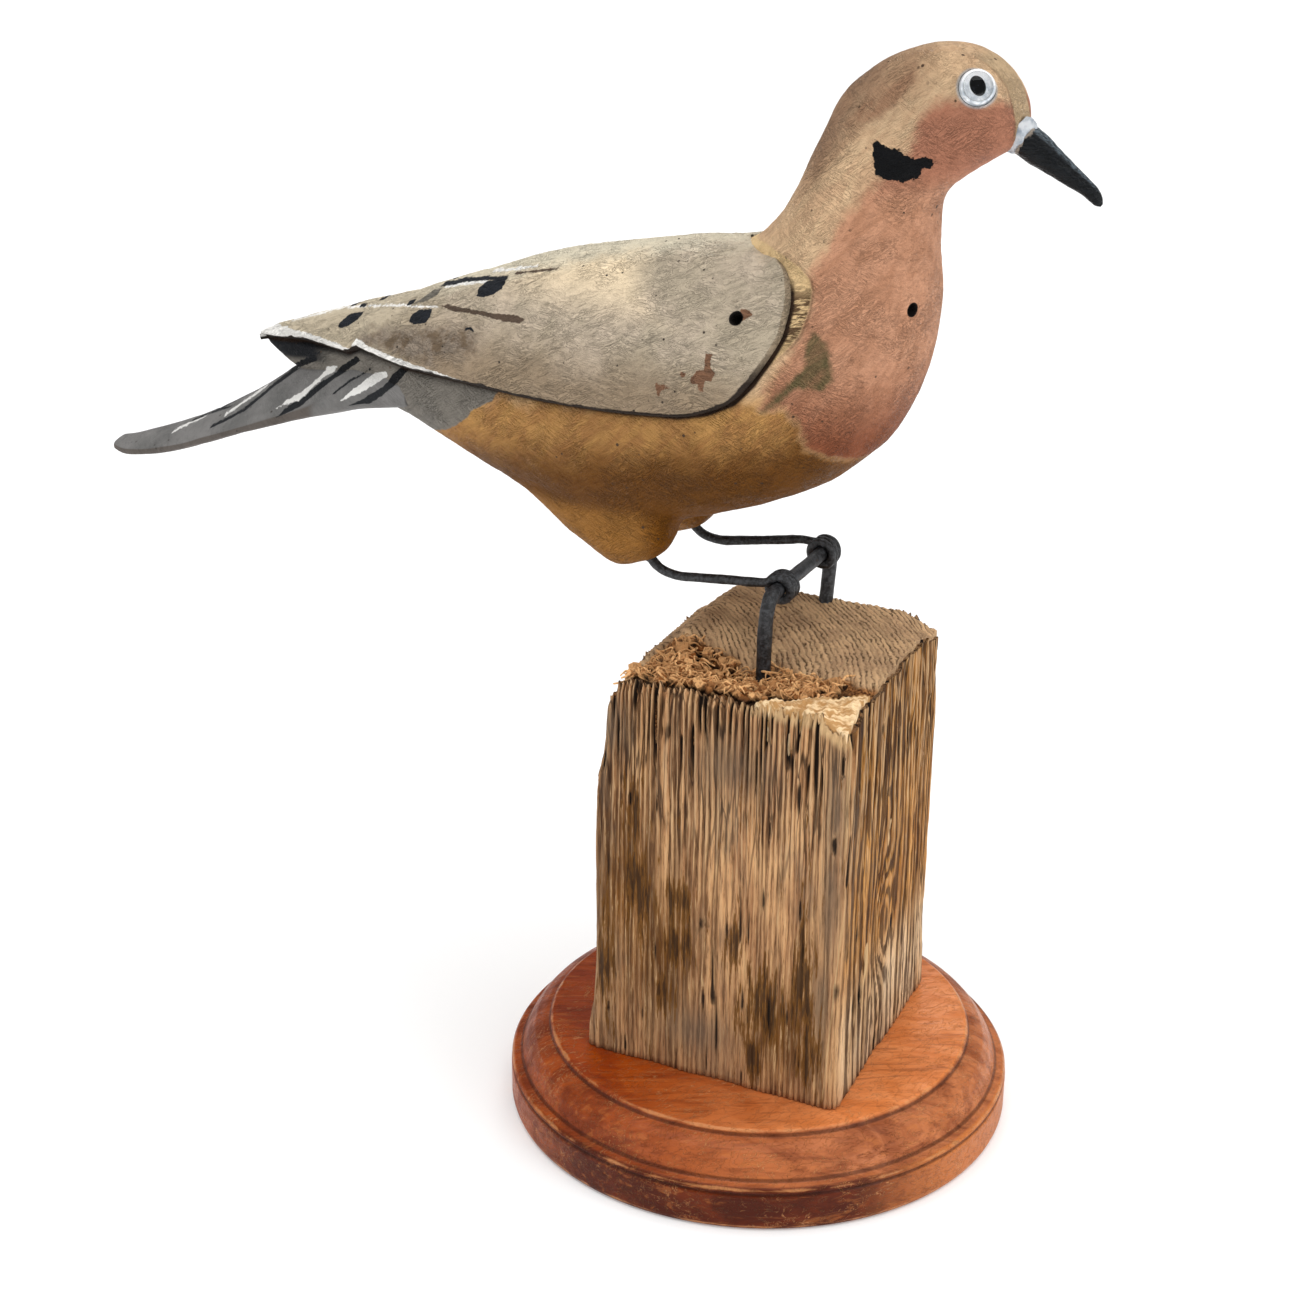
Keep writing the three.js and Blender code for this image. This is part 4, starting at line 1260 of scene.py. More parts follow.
bill_grid = bill_surface(steps(110), angles(72)) @ BILL_AXES + BILL_ROOT
bill = make_mesh("bill_peg", *rings_shell(bill_grid))
skin, outward = places(bill), normals(bill)
whittled = 0.12 * noise(skin * [0.35, 1, 1], 1.7, 21) + 0.05 * noise(skin, 0.8, 22)
move_to(bill, skin + outward * whittled[:, None])
along = (places(bill) - BILL_ROOT) @ BILL_AXES[0]
mark(bill, "along", along)
mark(bill, "up", normals(bill)[:, 2])

GLUE_PROFILE = [[0.05, -4], [4.4, -4], [5.2, -3.4], [5.4, -2.4], [5, -1.2], [4.4, -0.2], [3.9, 0.3], [0.05, 0.3]]
bead_rings = turned(blend_rows(GLUE_PROFILE, np.linspace(0, 1, 50)), 80)
bead_grid = np.stack([bead_rings[..., 2], bead_rings[..., 0] * 0.86, bead_rings[..., 1] + 0.8], -1)
glue = make_mesh("bill_glue_bead", *rings_shell(bead_grid @ BILL_AXES + BILL_ROOT))
skin, outward = places(glue), normals(glue)
lumps = 0.4 * noise(skin, 2.6, 23) + 0.16 * noise(skin, 1.1, 24)
move_to(glue, skin + outward * lumps[:, None])

bill_paint = Paint("bill_black")
grain = bill_paint.noise(1.0, 4, 0.6, bill_paint.stretch((250, 1400, 1400), (0, BILL_TURN, 0)))
worn_root = bill_paint.band(
    bill_paint.math("MULTIPLY_ADD", bill_paint.noise(700, 4), 2.4, bill_paint.mark("along")), 1.7, 1.2
)
bill_color = bill_paint.mix(bill_paint.band(grain, 0.35, 0.7), rgb("040608"), rgb("0d1115"))
sheen = bill_paint.math("MULTIPLY", bill_paint.band(bill_paint.mark("up"), 0.5, 0.85), bill_paint.band(grain, 0.4, 0.6, 0.25, 0.9))
bill_color = bill_paint.mix(sheen, bill_color, rgb("5b666e"))
bill_color = bill_paint.mix(worn_root, bill_color, rgb("8d8378"))
bill_coat = bill_paint.finish(
    bill_color, bill_paint.band(grain, 0.3, 0.7, 0.16, 0.34), bill_paint.bump(grain, 0.0006, 0.8), Specular_IOR_Level=0.18
)
glue_paint = Paint("glue_milky")
milk = glue_paint.band(glue_paint.noise(420, 3, 0.6), 0.35, 0.65)
glue_coat = glue_paint.finish(
    glue_paint.mix(milk, rgb("a9b4c0"), rgb("e6ebf0")),
    0.12,
    glue_paint.bump(glue_paint.noise(600, 3), 0.0002, 0.5),
    Transmission_Weight=0.35,
    IOR=1.45,
)
finish_piece(bill, ["bill"], bill_coat)
finish_piece(glue, ["bill_glue"], glue_coat)

# %% [markdown]
# The wires
#
# A wire is a section carried along a path. The leg wires run level to the perch and are wound
# round it, flattened by the pull; their surface has the small dents of hand bending.

# %%
PERCH_X, PERCH_HEIGHT = 2, 165
LEG_WIRE, PERCH_WIRE = 2.8, 4.3
LEG_ROUTE = [
    [-45.5, 172.5, 0],
    [-43.8, 168.4, 0],
    [-42, 165, 0],
    [-38.6, 162.1, 0.05],
    [-33, 161, 0.15],
    [-25, 162.1, 0.35],
    [-12.4, 164.3, 0.7],
    [-6.2, 165.4, 0.92],
]
LEG_LIFT = {"right": 0.4, "left": 1.4}
COIL_MIDDLE = {"right": 3.9, "left": 35.6}
COIL_TURNS, COIL_PITCH, COIL_START = 2.6, 2.1, math.radians(148)
PERCH_ROUTE = [
    [-7.7, 131],
    [-7.7, 140],
    [-7.6, 150],
    [-7.1, 156.5],
    [-6.3, 160.4],
    [-4.9, 163.1],
    [-2.7, 164.7],
    [0.3, 165],
    [24.9, 165],
    [37.3, 165],
    [40, 163.8],
    [40.9, 161],
    [39.6, 152.5],
    [38.3, 146],
    [38.3, 134],
]


def through(points, count):
    """A curve through points, its pace set by the root of their spacing, cut at equal lengths."""
    p = np.asarray(points, float)
    p = np.vstack([2 * p[0] - p[1], p, 2 * p[-1] - p[-2]])
    knots = np.concatenate([[0], np.cumsum(np.sqrt(np.linalg.norm(np.diff(p, axis=0), axis=1)))])
    t = np.linspace(knots[1], knots[-2], 4000)[:, None]
    i = np.clip(np.searchsorted(knots, t[:, 0], "right") - 1, 1, len(p) - 3)
    k = [knots[i + step][:, None] for step in (-1, 0, 1, 2)]
    q = [p[i + step] for step in (-1, 0, 1, 2)]

    def between(a, b, ka, kb):
        return (a * (kb - t) + b * (t - ka)) / (kb - ka)

    first = [between(q[j], q[j + 1], k[j], k[j + 1]) for j in range(3)]
    second = [between(first[j], first[j + 1], k[j], k[j + 2]) for j in range(2)]
    curve = between(second[0], second[1], k[1], k[2])
    length = np.concatenate([[0], np.cumsum(np.linalg.norm(np.diff(curve, axis=0), axis=1))])
    at = np.linspace(0, length[-1], count)
    return np.stack([np.interp(at, length, curve[:, j]) for j in range(3)], -1), at


def swept(path, wide_way, half_wide, half_high, around):
    """Rings along a path: an oval whose width lies as near as it can to one direction."""
    along = np.gradient(path, axis=0)
    along /= np.linalg.norm(along, axis=1, keepdims=True)
    wide = wide_way - (along @ wide_way)[:, None] * along
    wide /= np.linalg.norm(wide, axis=1, keepdims=True)
    high = np.cross(along, wide)
    angle = angles(around)[..., None]
    u, v = (np.cos(angle) * half_wide[:, None, None]), (np.sin(angle) * half_high[:, None, None])
    return path[:, None] + u * wide[:, None] + v * high[:, None]


def leg_wire(name):
    side = SIDES[name]
    middle = BIRD_MIDDLE + side * LEG_SPREAD
    start = COIL_MIDDLE[name] + side * COIL_TURNS * COIL_PITCH / 2
    turns = np.arange(0, COIL_TURNS + 0.001, 1 / 16)
    angle = COIL_START - turns * 2 * np.pi
    radius = (PERCH_WIRE + LEG_WIRE) / 2 + 0.05
    ring = np.stack([np.cos(angle), 0 * angle, np.sin(angle)], -1) * radius
    coil = ring + [PERCH_X, start, PERCH_HEIGHT] - side * turns[:, None] * [0, COIL_PITCH, 0]
    x, z, swung = np.array(LEG_ROUTE).T
    route = np.stack([x, middle + (start - middle) * swung, z + LEG_LIFT[name]], -1)
    path, at = through(np.vstack([route, coil]), 560)
    wound = smooth(at, 42, 50)
    root = 1 - smooth(at, 7.5, 9.5)
    rough = 0.12 * noise(path, 4, 31) + 0.05 * noise(path, 1.2, 32)
    half_high = LEG_WIRE / 2 + rough + root * 0.9 - 0.15 * wound
    half_wide = LEG_WIRE / 2 + rough + root * 0.9 - 0.3 * wound
    return make_mesh(f"leg_{name}", *rings_shell(swept(path, np.array([0, 1.0, 0]), half_wide, half_high, 24)))


def perch_bar():
    points = [[PERCH_X, y, z] for y, z in PERCH_ROUTE]
    path, at = through(points, 420)
    rough = 0.1 * noise(path, 6, 33) + 0.06 * noise(path, 1.5, 34)
    half = PERCH_WIRE / 2 + rough
    return make_mesh("perch_bar", *rings_shell(swept(path, np.array([1.0, 0, 0]), half, half, 28)))


wire_paint = Paint("wire_black")
scale_marks = wire_paint.noise(900, 5, 0.65)
wire_color = wire_paint.mix(wire_paint.band(scale_marks, 0.4, 0.65), rgb("161617"), rgb("454649"))
wire_color = wire_paint.mix(
    wire_paint.band(wire_paint.noise(300, 4, 0.7), 0.66, 0.72), wire_color, rgb("4a3a2e")
)
wire_coat = wire_paint.finish(
    wire_color,
    wire_paint.band(scale_marks, 0.35, 0.7, 0.38, 0.6),
    wire_paint.bump(scale_marks, 0.0005, 0.8),
    Metallic=0.3,
)
finish_piece(perch_bar(), ["perch_wire"], wire_coat)
for name in SIDES:
    finish_piece(leg_wire(name), [f"leg_wire_{name}"], wire_coat)

# %% [markdown]
# The post
#
# An old softwood post end. Its growth rings are circles about a pith outside the block, so
# they cut the front face in close upright lines and the right face in wider ones. Weather has
# eaten the soft wood between them. The top is sound end grain behind and crumbling cubes and
# threads of rotten wood in front.

# %%
POST_WIDTH, POST_DEPTH = 78.6, 83
POST_LEAN = (-0.065, -0.043)
POST_SHIFT = (2.4, 1.2)
POST_TOP, POST_FOOT = 148.5, 25.7
POST_CORNER, FOOT_FLARE, EDGE_WEAR = 3.5, 3, 3.6
LEFT_DROP, CORNER_WEAR, NEAR_WEAR = 12, 5, 5.5
ROT_DEPTH, ROT_AT, ROT_REACH = 8, (-5, -12), (22, 15)
PITH, RING_PITCH = (-105, -80), 1.62


def post_top(x, y):
    """Height of the top: it drops to the left face, and is worn at the right corners and the rot."""
    left = LEFT_DROP * (1 - smooth(x, -44, -24))
    rot = np.exp(-(((x - ROT_AT[0]) / ROT_REACH[0]) ** 2) - ((y - ROT_AT[1]) / ROT_REACH[1]) ** 2)
    back_right = smooth(x, 24, 40) * smooth(y, 20, 42)
    near_right = smooth(x, 30, 42) * (1 - smooth(y, -40, -28))
    near_left = np.exp(-(((x + 38) / 7) ** 2)) * (1 - smooth(y, -34, -4))
    return POST_TOP - left - ROT_DEPTH * rot - CORNER_WEAR * (back_right + near_right) - NEAR_WEAR * near_left


def leaned(x, y, height):
    """The post's lean, and its near left corner's flare at the foot and wear at the top."""
    w, d = POST_WIDTH / 2, POST_DEPTH / 2
    near = np.exp(-(((x + w) / 8) ** 2) - ((y + d) / 14) ** 2)
    foot = FOOT_FLARE * (1 - smooth(height, 0, 0.25))
    worn = 0.9 + EDGE_WEAR * smooth(height, 0.72, 1)
    lean = POST_LEAN[0] + (POST_LEAN[1] - POST_LEAN[0]) * (x + w) / (2 * w)
    moved = x + lean * (y + d) + POST_SHIFT[0] + (worn - foot) * near
    return moved, y + POST_SHIFT[1] + 0 * moved


def rounded_outline(count):
    """The block's section: four straight sides and four round corners, at equal steps."""
    w, d, r = POST_WIDTH / 2, POST_DEPTH / 2, POST_CORNER
    turn = np.linspace(0, np.pi / 2, 24)
    chain = []
    for k, (cx, cy) in enumerate([(w - r, -d + r), (w - r, d - r), (-w + r, d - r), (-w + r, -d + r)]):
        angle = -np.pi / 2 + k * np.pi / 2 + turn
        chain.append(np.stack([cx + r * np.cos(angle), cy + r * np.sin(angle)], -1))
    chain = np.vstack([*chain, chain[0][:1]])
    length = np.concatenate([[0], np.cumsum(np.linalg.norm(np.diff(chain, axis=0), axis=1))])
    at = np.linspace(0, length[-1], count, endpoint=False)
    return np.stack([np.interp(at, length, chain[:, k]) for k in (0, 1)], -1)


KNOT = (-3, 68)
RUST = [
    [-23, 104, 4, 11],
    [-21, 84, 6, 15],
    [-9, 82, 5, 10],
    [-8, 67, 6, 9],
    [8, 70, 3.5, 10],
    [-13, 50, 4, 9],
    [19, 54, 8, 14],
    [15, 38, 3, 8],
    [-32, 58, 3, 22],
    [30, 66, 5, 20],
    [33, 40, 4, 14],
]
GREYED = [
    [38.5, 122, 3.5, 22],
    [38, 92, 3, 22],
    [36, 60, 3, 16],
    [-37, 62, 3, 30],
    [8, 128, 12, 10],
    [-2, 40, 12, 8],
    [-30, 133, 6, 8],
]
CORNER_LINE = [[42.6, 141], [42.2, 118], [41.4, 92], [39.6, 60], [37.6, 28]]
LEFT_STAIN = [[-27, 84, 13, 36], [-16, 62, 14, 26], [24, 46, 14, 18]]
SLIT = [[-19, 66], [-20.5, 58], [-21, 52]]
CHIPS = [[[-17.6, 68], [-17.6, 61], [-19, 55]], [[0.6, 99.5], [-1.4, 96.5], [-1.2, 94]]]


def rings(points):
    """Phase of the growth rings, one whole number for each ring's dark line, pushed aside by a knot."""
    x, y, z = points[..., 0], points[..., 1], points[..., 2]
    radius = np.hypot(x - PITH[0], y - PITH[1])
    wander = 2.6 * noise(points * [1, 1, 0.16], 22, 41) + 0.6 * noise(points * [1, 1, 0.1], 5, 42)
    wander = wander + 0.3 * noise(points * [1, 1, 0.07], 1.7, 64)
    uneven = 2.2 * noise(np.stack([radius, 0 * radius, 0 * radius], -1), 9, 43)
    off_knot = ((y - KNOT[0]) / 9) ** 2 + ((z - KNOT[1]) / 17) ** 2
    knot = 5.5 * np.exp(-off_knot) * (x > 30)
    return (radius + wander + uneven + knot) / RING_PITCH


def ridge(phase):
    """1 on a ring's hard line, falling to 0 in the soft wood between."""
    return (0.5 + 0.5 * np.cos(2 * np.pi * phase)) ** 1.4


def blots(across, up, places):
    """How much each place is covered by soft ovals, each a middle with a half width and half height."""
    return np.max([np.exp(-(((across - a) / w) ** 2) - ((up - b) / h) ** 2) for a, b, w, h in places], 0)


post_columns, post_rows = 1060, 78
outline = rounded_outline(post_columns)
step_in = np.diff(np.vstack([outline, outline[:1]]), axis=0)
face_out = np.stack([step_in[:, 1], -step_in[:, 0]], -1)
face_out /= np.linalg.norm(face_out, axis=1, keepdims=True)
share = (1 - (1 - np.linspace(0, 1, post_rows)) ** 1.35)[:, None]
side_x, side_y = leaned(outline[None, :, 0], outline[None, :, 1], share)
rim_height = post_top(side_x[-1], side_y[-1]) - 1.2
at_rim = np.stack([side_x[-1], side_y[-1], rim_height], -1)
front_rim = smooth(-at_rim[:, 1], 30, 38)
broken = 1.3 * noise(at_rim, 3.2, 44) + (1.0 + 0.8 * front_rim) * noise(at_rim, 1.1, 45)
broken = broken + (1.3 + front_rim) * (ridge(rings(at_rim)) - 0.5)
side_z = POST_FOOT + share * (rim_height + broken * 0.8 - POST_FOOT)
sides = np.stack([side_x, side_y, side_z], -1)
phase = rings(sides)
on_front = smooth(-side_y, 34, 40)
on_right = smooth(side_x, 34, 40) * (1 - on_front)
pits = smooth(noise(sides * [1, 1, 0.12], 1.4, 46), 0.42, 0.75)
slots = smooth(noise(sides * [1, 1, 0.1], 1.5, 49), 0.0, 0.4) * smooth(side_z, 104, 140) * (1 - ridge(phase))
slit = np.where(on_right > 0.5, 1 - smooth(to_line(side_y, side_z, SLIT), 0.4, 1.1), 0)
deep = 0.45 + 0.5 * smooth(side_z, 96, 140)
patchy = 0.35 + 0.65 * smooth(noise(sides * [1, 1, 0.14], 4.5, 50), -0.35, 0.4)
relief = deep * patchy * (ridge(phase) - 0.45) - 0.9 * pits * deep + 0.5 * noise(sides * [1, 1, 0.3], 11, 47)
relief = relief + 0.15 * noise(sides * [1, 1, 0.2], 0.9, 48) - 1.0 * slots - 2.2 * slit
relief = relief - 1.2 * smooth(side_z, rim_height - 4.5, rim_height + 1) ** 2 * on_front
out = np.concatenate([face_out, np.zeros((post_columns, 1))], 1)
sides = sides + out[None] * relief[..., None]
lip = []
for inward, drop in ((0.7, 0.1), (1.6, 0.7), (2.6, 2.2), (3.4, 6.0)):
    lip.append(sides[-1] - out * inward - [0, 0, drop])
side_rings = np.concatenate([sides, np.stack(lip)], 0)
post_sides = make_mesh("post_sides", *rings_shell(side_rings))


def mark_sides(name, values, at_lip):
    """Stores a grid of numbers on the sides, with one number for the lip and the two end points."""
    rows = np.concatenate([values, np.ones((4, post_columns)) * at_lip], 0)
    mark(post_sides, name, np.concatenate([rows.ravel(), [at_lip, at_lip]]))


chips = np.max([1 - smooth(to_line(side_y, side_z, chip), 0.5, 1.1) for chip in CHIPS], 0) * (on_right > 0.5)
corner = np.hypot(side_x - 43, side_y + 40)
corner_line = 0.7 * (1 - smooth(to_line(side_x, side_z, CORNER_LINE), 0.1, 0.6)) * on_front
paled = np.maximum(chips, 0.7 * (1 - smooth(corner, 1.5, 4.5)) * smooth(side_z, 60, 120))
paled = np.maximum(paled, corner_line)
upper_rim = smooth(side_z, rim_height - 7, rim_height) * smooth(side_x, -12, 26) * on_front
paled = np.maximum(paled, upper_rim)
mark_sides("ring", phase, phase.mean())
# Painted shade in the pits, slots and slit, and a little on the lip.
mark_sides("cavity_shade", pits * 0.8 + 1.1 * slots + 1.4 * slit, 0.6)
mark_sides("rust", blots(side_x, side_z, RUST) * on_front, 0)
mark_sides("greyed", blots(side_x, side_z, GREYED) * on_front, 0)
mark_sides("paled", paled, 0.3)
mark_sides("right", on_right, 0)
mark_sides("left", blots(side_x, side_z, LEFT_STAIN) * on_front, 0)

top_across, top_deep = 200, 210
u = np.linspace(-1, 1, top_across)[None] * (POST_WIDTH / 2 - 1.4)
v = np.linspace(-1, 1, top_deep)[:, None] * (POST_DEPTH / 2 - 1.4)
top_x, top_y = leaned(u + 0 * v, v + 0 * u, np.ones((top_deep, top_across)))
top_z = post_top(top_x, top_y)
flat = np.stack([top_x, top_y, top_z], -1)


def rotten(x, y):
    """1 where the top is rotted: the front left, to a ragged line."""
    points = np.stack([x, y, 0 * x], -1)
    line = y + 0.3 * x + 5 * noise(points, 11, 51) + 2.5 * noise(points, 4, 52)
    return (1 - smooth(line, -10, -3)) * smooth(x, -36, -31)


def creamy(x, y):
    """1 on the pale, freshly broken corner at the front right."""
    points = np.stack([x, y, 0 * x], -1)
    reach = x - 6 - 1.5 * (y + 41) + 4 * noise(points, 5, 59) + 1.5 * noise(points, 2, 60)
    return smooth(reach, 0, 5)


rot_share = rotten(top_x, top_y) * (1 - creamy(top_x, top_y))
cream_share = creamy(top_x, top_y)
top_phase = rings(flat)
sound = 0.4 * (ridge(top_phase) - 0.5) + 0.3 * noise(flat, 3, 53) + 0.2 * noise(flat, 1.1, 54)
hollows = -3.4 + 1.8 * noise(flat, 3.4, 55) + 1.2 * noise(flat, 1.3, 56)
folds = 0.8 * noise(flat + 2 * noise(flat, 4, 61)[..., None], 2.2, 62)
top_z = top_z + sound * (1 - rot_share) + hollows * rot_share + folds * cream_share
cap = np.stack([top_x, top_y, top_z], -1)
border = np.concatenate([cap[0, :-1], cap[:-1, -1], cap[-1, :0:-1], cap[:0:-1, 0]])
cap_count, rim_count = top_across * top_deep, len(border)
index = np.arange(cap_count).reshape(top_deep, top_across)
rim_index = np.concatenate([index[0, :-1], index[:-1, -1], index[-1, :0:-1], index[:0:-1, 0]])
low_index = cap_count + np.arange(rim_count)
nxt = np.roll(np.arange(rim_count), -1)
walls = np.stack([rim_index, low_index, low_index[nxt], rim_index[nxt]], -1)
bottom = border * [1, 1, 0] + [0, 0, 118]
centre = bottom.mean(0)
fan = np.stack([low_index, np.full(rim_count, cap_count + rim_count), low_index[nxt]], -1)
quads = np.vstack([grid_faces(top_deep, top_across, False), walls])
vertices = np.vstack([cap.reshape(-1, 3), bottom, [centre]])
post_cap = make_mesh("post_cap", vertices, quads, fan)
pad = np.zeros(rim_count + 1)
for name, values in (("ring", top_phase), ("rot", rot_share), ("cream", cream_share), ("depth", -hollows * rot_share)):
    mark(post_cap, name, np.concatenate([values.ravel(), pad]))

# %% [markdown]
# The rotten crumbs
#
# Brown rot breaks wood into small cubes along its grain, with loose threads between them. Each
# crumb is a box with its corners pushed about, each thread a thin bent tube, all worked out at
# once as arrays and stored as one mesh.

# %%
CRUMBS, THREADS = 420, 400
BOX_CORNERS = np.array(list(itertools.product((-1, 1), repeat=3)), float)
BOX_FACES = np.array([[0, 1, 3, 2], [4, 6, 7, 5], [0, 4, 5, 1], [2, 3, 7, 6], [0, 2, 6, 4], [1, 5, 7, 3]])
draw = np.random.default_rng(7)


def scattered(count):
    """Places on the rotten part of the top, drawn by chance: twelve times as many as asked, of which the first that
    fall on the rot, up to the number asked, are kept.
    """
    x = draw.uniform(-28, 30, count * 12)
    y = draw.uniform(-36, 10, count * 12)
    keep = np.flatnonzero(rotten(x, y) * (1 - creamy(x, y)) > 0.55)[:count]
    return x[keep], y[keep]


def crumb_boxes(count):
    """Corners of crumbs: boxes of chance sizes, turned about the grain and tipped, their corners moved."""
    x, y = scattered(count)
    size = draw.uniform([0.6, 0.5, 0.9], [1.9, 1.3, 2.8], (count, 3)) * draw.uniform(0.6, 1.2, (count, 1))
    turn, tip, roll = draw.uniform(0, np.pi, count), draw.normal(0, 0.4, count), draw.normal(0, 0.4, count)
    corners = BOX_CORNERS[None] * size[:, None] + draw.normal(0, 0.2, (count, 8, 3))
    cx, cy, cz = corners[..., 0], corners[..., 1], corners[..., 2]
    cx, cz = cx * np.cos(tip)[:, None] + cz * np.sin(tip)[:, None], cz * np.cos(tip)[:, None] - cx * np.sin(tip)[:, None]
    cy, cz = cy * np.cos(roll)[:, None] + cz * np.sin(roll)[:, None], cz * np.cos(roll)[:, None] - cy * np.sin(roll)[:, None]
    cx, cy = cx * np.cos(turn)[:, None] - cy * np.sin(turn)[:, None], cy * np.cos(turn)[:, None] + cx * np.sin(turn)[:, None]
    base = post_top(x, y) - 2.2 + draw.uniform(-1.6, 1.5, count)
    return np.stack([cx, cy, cz], -1) + np.stack([x, y, base], -1)[:, None]


def thread_tubes(count, rings_each=9, around=5):
    """Rings of threads: bent lines of chance lengths and headings, a third to four fifths of a millimetre thick."""
    x, y = scattered(count)
    s = np.linspace(-0.5, 0.5, rings_each)[None]
    heading, length = draw.uniform(0, 2 * np.pi, (count, 1)), draw.uniform(2.4, 6.2, (count, 1))
    bend, rise = draw.normal(0, 2.4, (count, 1)), draw.normal(0, 0.28, (count, 1))
    along, aside = s * length, bend * (4 * s**2 - 0.5)
    px = x[:, None] + along * np.cos(heading) - aside * np.sin(heading)
    py = y[:, None] + along * np.sin(heading) + aside * np.cos(heading)
    lift = draw.uniform(-1.2, 1.0, (count, 1)) + 0.9 * np.cos(s * 5)
    pz = post_top(x, y)[:, None] + rise * along + lift
    angle = angles(around)[..., None, :]
    thick = (draw.uniform(0.16, 0.42, (count, 1)) * (1 - 1.2 * s**2))[..., None]
    side_way = np.stack([-np.sin(heading), np.cos(heading), 0 * heading], -1)[:, :, None]
    up_way = np.array([0, 0, 1.0])
    line = np.stack([px, py, pz], -1)[:, :, None]
    round_way = np.cos(angle)[..., None] * side_way + np.sin(angle)[..., None] * up_way
    return line + thick[..., None] * round_way


boxes = crumb_boxes(CRUMBS)
tubes = thread_tubes(THREADS)
rings_each, around = tubes.shape[1:3]
box_faces = (BOX_FACES[None] + 8 * np.arange(CRUMBS)[:, None, None]).reshape(-1, 4)
one_tube = grid_faces(rings_each, around, True)
tube_start = 8 * CRUMBS + rings_each * around * np.arange(THREADS)
tube_faces = (one_tube[None] + tube_start[:, None, None]).reshape(-1, 4)
j = np.arange(1, around - 1)
near_end = np.stack([0 * j, j + 1, j], -1)
far_end = np.stack([0 * j, j, j + 1], -1) + (rings_each - 1) * around
ends = (np.vstack([near_end, far_end])[None] + tube_start[:, None, None]).reshape(-1, 3)
if volume(boxes[0], BOX_FACES, np.zeros((0, 3), int)) < 0:
    box_faces = box_faces[:, ::-1]
if volume(tubes[0].reshape(-1, 3), one_tube, np.vstack([near_end, far_end])) < 0:
    tube_faces, ends = tube_faces[:, ::-1], ends[:, ::-1]
vertices = np.vstack([boxes.reshape(-1, 3), tubes.reshape(-1, 3)])
post_crumbs = make_mesh("post_crumbs", vertices, np.vstack([box_faces, tube_faces]), ends)
post_crumbs.data.shade_flat()
tone = np.concatenate([draw.uniform(0, 0.8, CRUMBS).repeat(8), draw.uniform(0.35, 1, THREADS).repeat(rings_each * around)])
mark(post_crumbs, "tone", tone)
mark(post_crumbs, "low", post_top(vertices[:, 0], vertices[:, 1]) - vertices[:, 2])


def ring_wood(paint):
    """How near the hard line of a growth ring is, from -1 to 1, and a chance tone for each ring."""
    sway = paint.noise(1.0, 3, 0.6, paint.lay((0.0028, 0.0028, 0.03)))
    ring = paint.math("MULTIPLY_ADD", paint.math("SUBTRACT", sway, 0.5), 1.5, paint.mark("ring"))
    wave = paint.math("COSINE", paint.math("MULTIPLY", ring, 2 * math.pi))
    number = paint.math("FLOOR", paint.math("ADD", ring, 0.5))
    tone = paint.add("ShaderNodeTexWhiteNoise", {"W": number}, noise_dimensions="1D").outputs["Value"]
    return wave, tone


